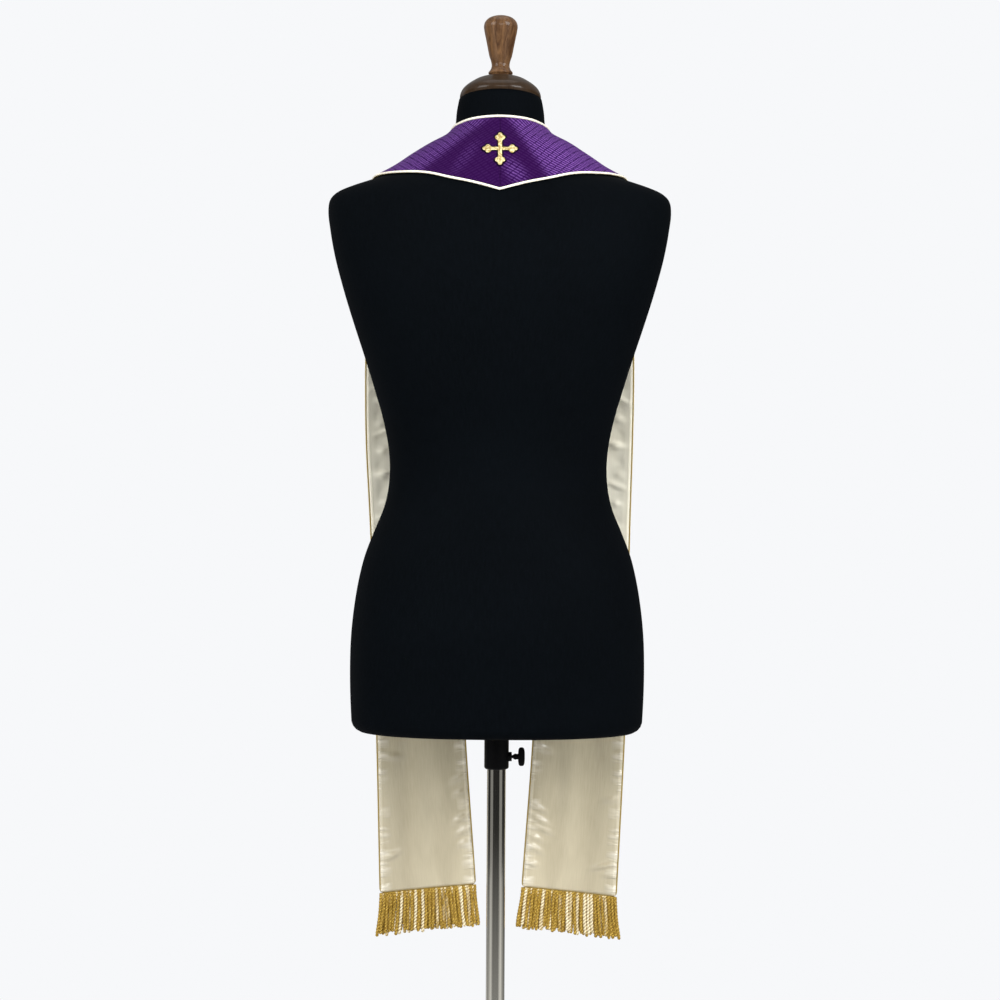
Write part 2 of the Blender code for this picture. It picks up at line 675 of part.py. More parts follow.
def make_stand():
    turned("stand_base", FOOT_PROFILE, POWDER_COAT, steps=48)
    sleeve = turned("stand_hub", HUB_PROFILE, POWDER_COAT, steps=28)
    low, high = POLE_BASE - GAP, HUB_PROFILE[0][1] + BORE_OVERRUN
    bore = cylinder_mesh("hub_bore", POLE_RADIUS + GAP, (0, 0, low), (0, 0, high))
    boolean(sleeve, add_object("hub_bore", bore, cutter=True), "DIFFERENCE")
    pole_top = TORSO_BASE + POLE_IN_TORSO
    pole = (
        (0.0, pole_top),
        (POLE_RADIUS - POLE_CHAMFER, pole_top),
        (POLE_RADIUS, pole_top - POLE_CHAMFER),
        (POLE_RADIUS, POLE_BASE),
        (0.0, POLE_BASE),
    )
    turned("stand_pole", pole, STEEL, steps=24)


for old in list(bpy.data.objects):
    bpy.data.objects.remove(old, do_unlink=True)

PARTS = collection_named("clerical_stole_on_dress_form")
CUTTERS = collection_named("cutters")

BROCADE = material_named("purple_brocade", (0.055, 0.006, 0.140), 0.45)
SATIN = material_named("cream_satin", (0.560, 0.480, 0.340), 0.40)
CORD = material_named("piping_cord", (0.870, 0.760, 0.520), 0.45)
BULLION = material_named("gold_bullion", (0.600, 0.350, 0.050), 0.35)
GOLD_THREAD = material_named("gold_thread", (0.700, 0.430, 0.090), 0.35)
JERSEY = material_named("black_jersey", (0.004, 0.005, 0.007), 0.85)
WALNUT = material_named("walnut", (0.120, 0.060, 0.028), 0.35)
MOULDED_BLACK = material_named("moulded_black", (0.010, 0.010, 0.011), 0.45)
STEEL = material_named("polished_steel", (0.620, 0.620, 0.630), 0.20, 1.0)
POWDER_COAT = material_named("black_powder_coat", (0.020, 0.020, 0.021), 0.55)

form = make_form()
make_collar()
make_clamp_screw()
make_stand()
make_stole(skin_tree(form.data))
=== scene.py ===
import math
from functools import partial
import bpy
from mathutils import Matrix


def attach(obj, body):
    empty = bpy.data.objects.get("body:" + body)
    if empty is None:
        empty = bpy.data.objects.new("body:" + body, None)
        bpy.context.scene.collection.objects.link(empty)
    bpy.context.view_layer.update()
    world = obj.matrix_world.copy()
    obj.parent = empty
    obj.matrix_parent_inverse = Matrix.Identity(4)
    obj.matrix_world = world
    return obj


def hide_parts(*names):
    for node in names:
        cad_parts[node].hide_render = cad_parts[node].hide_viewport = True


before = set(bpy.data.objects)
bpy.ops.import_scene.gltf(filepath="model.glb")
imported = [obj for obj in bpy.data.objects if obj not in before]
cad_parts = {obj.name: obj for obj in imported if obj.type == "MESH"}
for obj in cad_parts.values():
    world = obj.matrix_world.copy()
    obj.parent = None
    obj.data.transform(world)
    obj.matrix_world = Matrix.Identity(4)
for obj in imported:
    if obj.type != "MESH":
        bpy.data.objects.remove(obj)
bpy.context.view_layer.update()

# A clerical stole that lies round a limbless dress form on a pole stand. Every length is in metres, in the
# frame's own axes: +Z is up, the form faces -Y and +X is the wearer's left.

from types import SimpleNamespace

import bmesh
import bpy
import numpy as np
from mathutils import Matrix

# ---------------------------------------------------------------- studio
# A round floor of pale paper that fades into a white surround, softboxes on both sides of the form's back,
# one overhead and two weaker ones for its front. The camera looks level at the form's back.

CAMERA_PLACE = (-0.0023, 2.5, 0.992)
CAMERA_ROLL = 0.34  # degrees
LENS = 76.3  # mm
SURROUND = "#F7F8FA"
SHED_LEVEL = 0.03  # strength of the light that the surround sheds at eye level, and from above and below
SHED_HIGH = 0.42
SHED_SINES = (0.14, 0.26)  # of the slope at which the one gives way to the other
FLOOR_RINGS = (0.0, 0.4, 0.8, 1.2, 1.5)  # radii
FLOOR_DROP = 0.0002  # below the foot
FLOOR_FADE = 0.75  # radius from which the floor fades
TURNED_SIDES = 96

# name, degrees from the camera towards the picture's right, degrees up, distance from the form's middle,
# width, height, watts. The bands and glows are dim: they only draw the light bands on the pole. The soft
# fill and the lights at the front aren't seen in any gloss.
SOFTBOXES = (
    ("key_right", 48, 28, 2.6, 1.2, 1.2, 44),
    ("key_left", -52, 28, 2.6, 1.2, 1.2, 27),
    ("fill_over_camera", 4, 17, 2.8, 1.6, 0.7, 16),
    ("soft_fill_right", 32, -4, 2.8, 1.2, 1.2, 26),
    ("soft_fill_left", -40, -2, 2.6, 1.2, 1.2, 25),
    ("band_right", 58, 0, 2.3, 1.6, 2.8, 5.2),
    ("band_left", -58, 0, 2.3, 1.5, 2.8, 4.6),
    ("band_edge", -130, 0, 2.3, 0.9, 2.8, 4.5),
    ("glow_right", 76, -29, 2.5, 2.0, 0.8, 1.7),
    ("glow_left", -76, -29, 2.5, 2.0, 0.8, 1.4),
    ("front_right", 145, 26, 2.8, 1.2, 1.2, 34),
    ("front_left", -150, 22, 2.8, 1.2, 1.2, 22),
    ("overhead", 0, 88, 2.2, 1.6, 1.6, 10),
)
FORM_MIDDLE = (0.0, 0.0, 1.0)


def linear(code):
    """An sRGB hex colour as a linear colour."""
    parts = np.array([int(code[at : at + 2], 16) for at in (1, 3, 5)]) / 255
    parts = np.where(parts <= 0.04045, parts / 12.92, ((parts + 0.055) / 1.055) ** 2.4)
    return (*(float(part) for part in parts), 1.0)


def feed(node, inputs):
    """Gives sockets of a node, in their order or by name, a value, an sRGB colour, or what feeds them."""
    live = [socket for socket in node.inputs if socket.enabled]
    for key, value in inputs.items() if isinstance(inputs, dict) else enumerate(inputs):
        socket = live[key] if isinstance(key, int) else next(s for s in live if s.name == key)
        if isinstance(value, bpy.types.Node):
            value = next(output for output in value.outputs if output.enabled)
        if isinstance(value, bpy.types.NodeSocket):
            node.id_data.links.new(value, socket)
        else:
            socket.default_value = linear(value) if isinstance(value, str) else value


def add_node(tree, kind, inputs=(), **settings):
    """A new node with its settings and with what its sockets are given."""
    node = tree.nodes.new("ShaderNode" + kind)
    for name, value in settings.items():
        setattr(node, name, value)
    feed(node, inputs)
    return node


bpy.context.scene.view_settings.view_transform = "Standard"
camera = bpy.data.objects.new("camera", bpy.data.cameras.new("camera"))
bpy.context.scene.collection.objects.link(camera)
bpy.context.scene.camera = camera
camera.data.lens = LENS
facing = Matrix.Rotation(math.pi, 4, "Z") @ Matrix.Rotation(math.pi / 2, 4, "X")
roll = Matrix.Rotation(math.radians(CAMERA_ROLL), 4, "Z")
camera.matrix_world = Matrix.Translation(CAMERA_PLACE) @ facing @ roll

world = bpy.data.worlds.new("white_surround")
world.use_nodes = True
bpy.context.scene.world = world
world.node_tree.nodes.clear()
add = partial(add_node, world.node_tree)
direction = add("TexCoord").outputs["Generated"]
rise = add("SeparateXYZ", (direction,)).outputs["Z"]
steep = add("Math", (rise,), operation="ABSOLUTE")
shed = add("MapRange", (steep, *SHED_SINES, SHED_LEVEL, SHED_HIGH))
lighting = add("Background", {"Color": "#FFFFFF", "Strength": shed})
seen = add("Background", {"Color": SURROUND})
which = add("LightPath").outputs["Is Camera Ray"]
add("OutputWorld", {"Surface": add("MixShader", (which, lighting, seen))})

for name, turn, rise, distance, width, tall, watts in SOFTBOXES:
    box = bpy.data.lights.new(name, "AREA")
    box.shape = "RECTANGLE"
    box.size = width
    box.size_y = tall
    box.energy = watts
    upward = Matrix.Rotation(math.radians(90 - rise), 4, "X")
    aimed = Matrix.Rotation(math.radians(180 + turn), 4, "Z") @ upward
    light = bpy.data.objects.new(name, box)
    light.matrix_world = Matrix.Translation(FORM_MIDDLE) @ aimed @ Matrix.Translation((0, 0, distance))
    light.visible_camera = False
    light.visible_glossy = not name.startswith(("front", "soft"))
    bpy.context.scene.collection.objects.link(light)


def add_piece(name, points, material, uv=None, closed=False, flip=False):
    """A piece from patches of points, each rows by columns. closed joins a patch's last column to its first.

    A face's corners go down the rows and then along the columns, so it faces rows cross columns.
    """
    points = np.asarray(points, float)
    points = points.reshape(-1, *points.shape[-3:])
    patches, rows, columns = points.shape[:3]

    def corners(width):
        index = np.arange(patches * rows * width).reshape(patches, rows, width)
        if closed and width == columns:
            index = np.concatenate([index, index[..., :1]], axis=2)
        quads = (index[:, :-1, :-1], index[:, 1:, :-1], index[:, 1:, 1:], index[:, :-1, 1:])
        quads = np.stack(quads, axis=-1).reshape(-1, 4)
        return quads[:, ::-1] if flip else quads

    mesh = bpy.data.meshes.new(name)
    mesh.from_pydata(points.reshape(-1, 3).tolist(), [], corners(columns).tolist())
    if uv is not None:
        places = np.asarray(uv, float).reshape(-1, 2)[corners(columns + closed)]
        layer = mesh.uv_layers.new(name="UVMap")
        layer.data.foreach_set("uv", places.astype(np.float32).ravel())
    welded = bmesh.new()
    welded.from_mesh(mesh)
    bmesh.ops.remove_doubles(welded, verts=welded.verts, dist=1e-6)
    welded.to_mesh(mesh)
    welded.free()
    mesh.shade_smooth()
    mesh.materials.append(material)
    piece = bpy.data.objects.new(name, mesh)
    bpy.context.scene.collection.objects.link(piece)
    return piece


def round_angles(count):
    """A full turn in equal steps, without its end."""
    return np.linspace(0, 2 * math.pi, count, endpoint=False)


def stacked(*values):
    """Values that belong together, such as coordinates, spread over the same grid and put in one array."""
    return np.stack(np.broadcast_arrays(*values), axis=-1)


def turned(profile, sides=TURNED_SIDES):
    """Points of a body turned about Z: each radius and height of the profile carried round a circle."""
    profile = np.asarray(profile, float)
    angle = round_angles(sides)
    radius, height = profile[:, :1], profile[:, 1:]
    return stacked(radius * np.cos(angle), radius * np.sin(angle), height)


def new_material(name, **sockets):
    """A Principled material with its shader's own values, what adds nodes to it, and its shader."""
    material = bpy.data.materials.new(name)
    material.use_nodes = True
    shader = material.node_tree.nodes["Principled BSDF"]
    feed(shader, {socket.replace("_", " "): value for socket, value in sockets.items()})
    return material, partial(add_node, material.node_tree), shader


# Seamless paper, matt white, that lets the surround through towards its rim.
paper, add, shader = new_material("seamless_paper", Base_Color="#C6C7CA", Roughness=0.9)
reach = add("VectorMath", (add("TexCoord").outputs["Object"],), operation="LENGTH")
fade = (reach.outputs["Value"], FLOOR_FADE, FLOOR_RINGS[-1], 1.0, 0.0)
fade = add("MapRange", fade, interpolation_type="SMOOTHSTEP")
feed(shader, {"Alpha": fade})
disc = turned([(radius, -FLOOR_DROP) for radius in FLOOR_RINGS])
floor = add_piece("floor", disc, paper, closed=True)

# ---------------------------------------------------------------- foot, hub and pole
# A pressed steel disc with a turned sleeve welded on it, both powder coated black, and a drawn steel
# tube, polished and plated, that stands in the sleeve and runs up into the form.

# Radius and height down the outside of each, and how far its edges are rounded
FOOT_PROFILE = ((0.0, 0.008), (0.166, 0.008), (0.1688, 0.0068), (0.17, 0.004), (0.17, 0.0), (0.0, 0.0))
FOOT_ROUNDING = 0.0015
HUB_PROFILE = (
    (0.0, 0.06), (0.017, 0.06), (0.017, 0.0203), (0.022, 0.0143), (0.036, 0.0123), (0.036, 0.0083),
    (0.0, 0.0083),
)
HUB_ROUNDING = 0.0012
POLE_PROFILE = ((0.0, 1.04), (0.011, 1.04), (0.011, 0.0123), (0.0, 0.0123))
POLE_ROUNDING = 0.001


def rounded(corners, radius, steps=6):
    """A line through corners whose inner ones are rounded: at each, a parabola between two points that lie
    the radius away from it, or half the way to the next corner."""
    corners = np.array(corners, float)
    spans = np.diff(corners, axis=0)
    lengths = np.linalg.norm(spans, axis=1, keepdims=True)
    reach = np.minimum(np.minimum(lengths[:-1], lengths[1:]) / 2, radius)
    before = corners[1:-1] - spans[:-1] / lengths[:-1] * reach
    after = corners[1:-1] + spans[1:] / lengths[1:] * reach
    t = np.linspace(0, 1, steps)[None, :, None]
    bends = (1 - t) ** 2 * before[:, None] + 2 * t * (1 - t) * corners[1:-1, None] + t**2 * after[:, None]
    return np.vstack([corners[:1], bends.reshape(-1, 2), corners[-1:]])


def grained(name, scale, dark, light, bumps=0.0, depth=0.0, **sockets):
    """A material with a fine grain: noise that goes from dark to light and may stand up in bumps."""
    material, add, shader = new_material(name, **sockets)
    place = add("TexCoord").outputs["Object"]
    grain = add("TexNoise", (place, scale, 2.0))
    feed(shader, {"Base Color": add("Mix", (grain, dark, light), data_type="RGBA")})
    if bumps:
        feed(shader, {"Normal": add("Bump", {"Height": grain, "Strength": bumps, "Distance": depth})})
    return material


# Powder coating, baked epoxy: satin black with the faint orange peel of fused powder, about 1.5 mm across.
powder_coat = grained("powder_coated_steel", 650.0, "#1B1B1C", "#2A2A2B", 0.25, 0.0004, Roughness=0.5)

# Drawn steel tube, polished and nickel plated: mirror bands along it, with faint drawing lines 0.6 mm apart
# round it and a little haze.
steel, add, shader = new_material("polished_steel_tube", Metallic=1.0)
place = add("TexCoord").outputs["Object"]
drawn = add("Mapping", {"Vector": place, "Scale": (1600.0, 1600.0, 12.0)})
lines = add("TexNoise", (drawn, 1.0, 3.0))
haze = add("MapRange", (lines, 0.0, 1.0, 0.06, 0.13))
tone = add("Mix", (lines, "#ABA89E", "#C8C5BB"), data_type="RGBA")
feed(shader, {"Base Color": tone, "Roughness": haze})

for name, shows, profile, rounding, material, slot in (
    ("turned_stand_base", "stand_base", FOOT_PROFILE, FOOT_ROUNDING, powder_coat, "powder_coat"),
    ("turned_stand_hub", "stand_hub", HUB_PROFILE, HUB_ROUNDING, powder_coat, "powder_coat"),
    ("pole_tube", "stand_pole", POLE_PROFILE, POLE_ROUNDING, steel, "steel"),
):
    piece = add_piece(name, turned(rounded(profile, rounding)), material, closed=True)
    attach(piece, "stand")
    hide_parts(shows)

# ---------------------------------------------------------------- clamp collar and screw
# A moulded black collar with a boss at its side, and a T-shaped grip on a steel screw that goes through
# the boss and presses on the pole.

# Radius and height of the collar, all round its wall
COLLAR_PROFILE = (
    (0.0113, 0.69735), (0.0113, 0.7197), (0.0136, 0.7197), (0.0145, 0.7183),
    (0.0145, 0.6766), (0.0129, 0.675), (0.0113, 0.675), (0.0113, 0.69735),
)
COLLAR_ROUNDING = 0.0012
SCREW_HEIGHT = 0.6894
SCREW_SIDES = 48
# Radius and distance from the pole's axis
BOSS_PROFILE = ((0.0, 0.018), (0.0055, 0.018), (0.0055, 0.0125), (0.0, 0.0125))
BOSS_ROUNDING = 0.0007
GRIP_PROFILE = (
    (0.0, 0.029), (0.0034, 0.028), (0.0036, 0.0254), (0.003, 0.0246), (0.0036, 0.0228), (0.0034, 0.021),
    (0.002, 0.0194), (0.0016, 0.0188), (0.0026, 0.018), (0.0026, 0.0113), (0.0, 0.0113),
)
GRIP_ROUNDING = 0.001
BAR_HALF = (0.004, 0.004, 0.011)
BAR_CENTRE = 0.0294
BAR_SQUARENESS = (3.4, 3.0)  # up and down, and round

# Glass-filled nylon, moulded: near-black satin with a fine spark-eroded grain of about 0.8 mm, which is
# drawn that coarse so that it shows.
moulded_black = grained(
    "moulded_nylon", 1250.0, "#030304", "#0A0A0B", 0.2, 0.0003, Roughness=0.45, Specular_IOR_Level=0.07
)


def along_screw(profile, rounding):
    """A turned body laid along the screw's axis, with its heights running to -X."""
    x, y, z = np.moveaxis(turned(rounded(profile, rounding), SCREW_SIDES), -1, 0)
    return stacked(-z, y, SCREW_HEIGHT + x)


def super_power(values, squareness):
    """Values raised to 2 / squareness with their signs kept: what squares a circle's sine and cosine."""
    return np.sign(values) * np.abs(values) ** (2 / squareness)


# The bar is a superellipsoid: sines and cosines of its two angles raised to a power below 1.
down = np.linspace(0, math.pi, 25)[:, None]
around = round_angles(SCREW_SIDES)
reach = super_power(np.sin(down), BAR_SQUARENESS[0])
bar = stacked(
    BAR_HALF[0] * reach * super_power(np.cos(around), BAR_SQUARENESS[1]) - BAR_CENTRE,
    BAR_HALF[1] * reach * super_power(np.sin(around), BAR_SQUARENESS[1]),
    BAR_HALF[2] * super_power(np.cos(down), BAR_SQUARENESS[0]) + SCREW_HEIGHT,
)

for name, body, shows, points in (
    ("clamp_collar", "collar", "form_collar", turned(rounded(COLLAR_PROFILE, COLLAR_ROUNDING))),
    ("clamp_boss", "collar", None, along_screw(BOSS_PROFILE, BOSS_ROUNDING)),
    ("clamp_grip", "screw", "clamp_screw", along_screw(GRIP_PROFILE, GRIP_ROUNDING)),
    ("clamp_grip_bar", "screw", "clamp_screw", bar),
):
    piece = add_piece(name, points, moulded_black, closed=True)
    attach(piece, body)
    if shows:
        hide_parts(shows)

# ---------------------------------------------------------------- torso
# A hard torso, padded and covered in a black knitted jersey that is pulled tight and tucked in at the neck
# and under the base, so that it has no folds.

TORSO_BASE = 0.72
TORSO_BORE = 0.0113
TORSO_BORE_DEPTH = 0.3203
TORSO_SIDES = 144
TORSO_ROUND = 0.88  # round the middle of the torso
HEM_ROUNDING = 0.014
HEM_RINGS = 9
# Horizontal sections: rise above the underside, half width, depth behind and before the axis, squareness
TORSO_SECTIONS = (
    (0.014, 0.1712, 0.114, 0.102, 2.35),
    (0.04, 0.1725, 0.117, 0.105, 2.3),
    (0.075, 0.1731, 0.12, 0.108, 2.3),
    (0.11, 0.1722, 0.122, 0.111, 2.25),
    (0.145, 0.1688, 0.12, 0.112, 2.2),
    (0.175, 0.164, 0.116, 0.111, 2.15),
    (0.205, 0.1568, 0.109, 0.107, 2.1),
    (0.235, 0.1455, 0.099, 0.103, 2.05),
    (0.265, 0.1335, 0.09, 0.099, 2.0),
    (0.29, 0.1287, 0.086, 0.097, 2.0),
    (0.325, 0.1285, 0.086, 0.097, 2.0),
    (0.36, 0.1345, 0.09, 0.1, 2.05),
    (0.4, 0.1458, 0.097, 0.105, 2.1),
    (0.44, 0.1583, 0.102, 0.108, 2.15),
    (0.48, 0.1715, 0.105, 0.108, 2.2),
    (0.52, 0.1838, 0.106, 0.104, 2.3),
    (0.56, 0.1942, 0.103, 0.096, 2.4),
    (0.59, 0.1995, 0.099, 0.088, 2.45),
    (0.612, 0.2018, 0.094, 0.081, 2.45),
    (0.624, 0.2, 0.0915, 0.0785, 2.4),
    (0.6305, 0.194, 0.089, 0.0765, 2.3),
    (0.6375, 0.1795, 0.086, 0.0745, 2.2),
    (0.644, 0.161, 0.0835, 0.072, 2.1),
    (0.648, 0.149, 0.0815, 0.0705, 2.05),
    (0.654, 0.137, 0.079, 0.0685, 2.0),
    (0.6605, 0.125, 0.076, 0.0665, 2.0),
    (0.6755, 0.1025, 0.069, 0.0615, 2.0),
    (0.6896, 0.079, 0.0615, 0.0575, 2.0),
    (0.6968, 0.065, 0.0565, 0.055, 2.0),
    (0.7035, 0.0562, 0.053, 0.0532, 2.0),
    (0.713, 0.0528, 0.0505, 0.052, 2.0),
    (0.7275, 0.0517, 0.0492, 0.0512, 2.0),
    (0.742, 0.049, 0.0468, 0.0485, 2.0),
)
BUST_OUT = 0.034
BUST_SIDE = 0.082
BUST_SPREAD = 0.046
BUST_HEIGHT = 1.185
BUST_RISE = 0.062
SOFTENING = 0.004  # the padding rounds the sections off over this length
NECK_SLANT = 0.13  # rise of the neck's top towards the back, over its depth
NECK_SLANT_RISE = 0.715  # above the underside, where the slant begins


def smooth_through(values, knots, at):
    """A curve through values at the knots: cubics whose slope at a knot is the mean slope there."""
    values = np.asarray(values, float)
    slopes = np.gradient(values, knots, axis=0)
    piece = np.clip(np.searchsorted(knots, at, side="right") - 1, 0, len(knots) - 2)
    span = (knots[piece + 1] - knots[piece])[:, None]
    t = (at - knots[piece])[:, None] / span
    return (
        (1 + 2 * t) * (1 - t) ** 2 * values[piece]
        + t * (1 - t) ** 2 * span * slopes[piece]
        + t**2 * (3 - 2 * t) * values[piece + 1]
        + t**2 * (t - 1) * span * slopes[piece + 1]
    )


def softened(values, spacing, reach):
    """Rows of values blurred along the first axis by a Gaussian, with the ends carried on in line."""
    half = max(1, int(3 * reach / spacing))
    weights = np.exp(-0.5 * (np.arange(-half, half + 1) * spacing / reach) ** 2)
    weights /= weights.sum()
    ahead = 2 * values[:1] - values[half:0:-1]
    behind = 2 * values[-1:] - values[-2 : -half - 2 : -1]
    padded = np.concatenate([ahead, values, behind])
    return sum(weight * padded[at : at + len(values)] for at, weight in enumerate(weights))


def between(values, start, stop):
    """0 at the start and 1 at the stop, in line between them and level beyond."""
    return np.clip((values - start) / (stop - start), 0, 1)


table = np.array(TORSO_SECTIONS)
chord = np.r_[0, np.cumsum(np.hypot(np.diff(table[:, 0]), np.diff(table[:, 1])))]
fine = np.linspace(0, chord[-1], 400)
sections = softened(smooth_through(table, chord, fine), fine[1], SOFTENING)
bend = np.linspace(0, math.pi / 2, HEM_RINGS + 1)[:-1, None]
hem = np.repeat(sections[:1], HEM_RINGS, axis=0)
hem[:, 1:4] -= HEM_ROUNDING * (1 - np.sin(bend))
hem[:, :1] -= HEM_ROUNDING * np.cos(bend)
sections = np.vstack([hem, sections])


def bust_at(x, z):
    """How far the bust stands out at x and z: a bell on each side."""
    aside = (np.abs(x) - BUST_SIDE) / BUST_SPREAD
    return BUST_OUT * np.exp(-(aside**2) - ((z - BUST_HEIGHT) / BUST_RISE) ** 2)


def torso_level(points):
    """0 on the torso, less inside: (|x / a|^n + |y / b|^n)^(1 / n) - 1 against the section at that height,
    with the bust's bulge first taken off y."""
    x, y, z = np.moveaxis(points, -1, 0)
    half, back, front, n = (np.interp(z - TORSO_BASE, sections[:, 0], sections[:, k]) for k in (1, 2, 3, 4))
    bust = bust_at(x, z)
    inner = y
    for _ in range(4):
        inner = y + bust * np.clip(-inner / front, 0, 1) ** (n / 4)
    depth = np.where(inner > 0, back, front)
    level = (np.abs(x / half) ** n + np.abs(inner / depth) ** n) ** (1 / n) - 1
    return np.where(z < TORSO_BASE, 1.0, level)


def torso_gap(points):
    """How far points stand off the torso, and the way out of it: the level over its slope, and its slope."""
    step = 0.0003
    moves = np.eye(3) * step
    slope = stacked(*(torso_level(points + move) - torso_level(points - move) for move in moves))
    slope /= 2 * step
    steepness = np.maximum(np.linalg.norm(slope, axis=-1, keepdims=True), 1e-9)
    return torso_level(points)[..., None] / steepness, slope / steepness


# Rings up the torso, from the top of its bore round the hem to the top of its neck. Each is a superellipse:
# x is half_width cos^(2/n), y is depth sin^(2/n).
bore = np.array([[TORSO_BORE_DEPTH, 0], [TORSO_BORE_DEPTH, TORSO_BORE], [0, TORSO_BORE]])
bore = np.hstack([bore, bore[:, 1:], bore[:, 1:], np.full((3, 1), 2.0)])
top_face = np.array([[sections[-1, 0], 0, 0, 0, 2]])
rise, half, back, front, n = (column[:, None] for column in np.vstack([bore, sections[::2], top_face]).T)
angle = round_angles(TORSO_SIDES)
x = half * super_power(np.cos(angle), n)
y = np.where(np.sin(angle) > 0, back, front) * super_power(np.sin(angle), n)
z = TORSO_BASE + rise
y = y - bust_at(x, z) * np.clip(-np.sin(angle), 0, 1) ** 0.5 * (half > TORSO_BORE)
z = z + NECK_SLANT * y * between(rise, NECK_SLANT_RISE, sections[-1, 0])
torso_points = stacked(x, y, z)
torso_uv = stacked(np.linspace(0, TORSO_ROUND, TORSO_SIDES + 1), TORSO_BASE + rise)

# Knitted viscose jersey, dyed black: matt, with hardly any shine. Its upright ribs are drawn uneven and
# 1.6 mm apart, coarser than the real 0.8 mm, so that they show.
jersey, add, shader = new_material("black_jersey", Roughness=0.80, Specular_IOR_Level=0.03)
place = add("TexCoord").outputs["Object"]
upright = add("Mapping", {"Vector": add("UVMap"), "Scale": (620.0, 70.0, 1.0)})
rib = add("TexNoise", (upright, 1.0, 1.0))
slub = add("TexNoise", (place, 900.0, 2.0))
knit = add("Math", (rib, slub), operation="MULTIPLY")
cloud = add("TexNoise", (place, 9.0, 3.0))
tone = add("Mix", (cloud, "#010203", "#04070A"), data_type="RGBA")
speckled = add("Mix", (knit, tone, "#090D12"), data_type="RGBA")
bump = add("Bump", {"Height": knit, "Strength": 0.3, "Distance": 0.0004})
feed(shader, {"Base Color": speckled, "Normal": bump})

torso = add_piece("torso_cover", torso_points, jersey, uv=torso_uv, closed=True, flip=True)
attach(torso, "form")
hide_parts("form_torso")

# ---------------------------------------------------------------- neck cap and knob
# Two turned pieces of walnut, lacquered: a domed cap, whose rim is cut aslant to the neck's top, and a knob
# with a flared foot that is screwed down on it.

NECK_TOP = 1.462
CAP_UPRIGHT = 0.028  # above the neck's top, from here on the cap stands upright
CAP_STAIN = (1.491, 1.492)  # heights between which the cap's darker stain ends
# Radius and height above the neck's top, down the outside of each, and the height that closes it inside
DOME_PROFILE = (
    (0.013, 0.0298), (0.0185, 0.029), (0.0262, 0.0266), (0.0336, 0.0224), (0.0401, 0.0176),
    (0.0448, 0.0128), (0.0472, 0.008), (0.0478, 0.003), (0.047, 0.0003),
)
DOME_CLOSE = (0.0, 0.0298), (0.0, 0.0003)
KNOB_PROFILE = (
    (0.0, 0.1012), (0.0086, 0.1001), (0.0152, 0.0972), (0.0188, 0.093), (0.0199, 0.0885), (0.0193, 0.083),
    (0.0175, 0.074), (0.0155, 0.064), (0.0132, 0.053), (0.0111, 0.0465), (0.0106, 0.043),
    (0.0108, 0.0402), (0.0117, 0.0376), (0.013, 0.0357), (0.0141, 0.0344), (0.0144, 0.0333),
    (0.0139, 0.0322), (0.0128, 0.0315), (0.0126, 0.0302),
)
KNOB_CLOSE = (0.0, 0.0302)


def flowing(points, count):
    """A smooth line through points, evenly spaced along their chords."""
    points = np.array(points, float)
    along = np.r_[0, np.cumsum(np.linalg.norm(np.diff(points, axis=0), axis=1))]
    return smooth_through(points, along, np.linspace(0, along[-1], count))


# American black walnut under clear lacquer: brown with darker growth lines 1.5 to 3 mm apart that run up
# the piece, and a clear glossy coat. The cap is stained darker than the knob.
walnut, add, shader = new_material(
    "lacquered_walnut", Roughness=0.45, Specular_IOR_Level=0.06, Coat_Weight=0.35, Coat_Roughness=0.16
)
place = add("TexCoord").outputs["Object"]
lengthwise = add("Mapping", {"Vector": place, "Scale": (1.0, 1.0, 0.10)})
figure = add("TexNoise", {"Vector": lengthwise, "Scale": 170.0, "Detail": 4.0, "Distortion": 0.8})
pores = add("TexNoise", (lengthwise, 1100.0, 2.0))
grain = add("Mix", (0.25, figure, pores))
shade = add("MapRange", (grain, 0.35, 0.65))
tone = add("Mix", (shade, "#422C1B", "#6E5034"), data_type="RGBA")
stained = add("Mix", (tone, "#23170C", "#7C6145"), data_type="RGBA")
height = add("SeparateXYZ", (place,)).outputs["Z"]
which = add("MapRange", (height, *CAP_STAIN))
tone = add("Mix", (which, stained, tone), data_type="RGBA")
bump = add("Bump", {"Height": grain, "Strength": 0.1, "Distance": 0.0003})
feed(shader, {"Base Color": tone, "Normal": bump})

cap_profile = np.vstack([DOME_CLOSE[:1], flowing(DOME_PROFILE, 60), DOME_CLOSE[1:]])
knob_profile = np.vstack([flowing(KNOB_PROFILE, 120), KNOB_CLOSE])
for name, profile in (("neck_cap", cap_profile), ("knob", knob_profile)):
    points = turned(profile) + np.array([0, 0, NECK_TOP])
    points[..., 2] += NECK_SLANT * points[..., 1] * between(points[..., 2], NECK_TOP + CAP_UPRIGHT, NECK_TOP)
    piece = add_piece("walnut_" + name, points, walnut, closed=True)
    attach(piece, "form")
    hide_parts("form_" + name)

# ---------------------------------------------------------------- stole: the cut and the lie of each half
# The stole is two mirrored halves, seamed at the centre of the back. Each is cut as a curved band that
# lies flat round the neck, and hangs from the chest by its own weight, a little wavy and unpressed.

SKIN_CLEARANCE = 0.0009
LEAST_CLEARANCE = SKIN_CLEARANCE * 0.8  # in the troughs of the creases
LINING_THICKNESS = 0.0010
LAYER_GAP = 0.0003
OUTER_THICKNESS = 0.0012
LAYERS = LINING_THICKNESS + LAYER_GAP + OUTER_THICKNESS
HANG_LEAN = -0.001  # towards +X, of both halves where they hang free
HANG_RISE = 0.0015  # of the left half there, and the right one hangs that much lower
GRAIN_TURN = 0.54  # of the turn round the neck: the cloth is eased there by pressing, its grain turns less
STOLE_ROWS = 520
STOLE_PLACES = 45
TAUT_TURNS = 120
PUSH_LIMIT = 0.002  # the furthest that one turn pushes the cloth out of the torso
PULL_FADE = 0.010  # from the outer edge, over which the pulls beside it come up
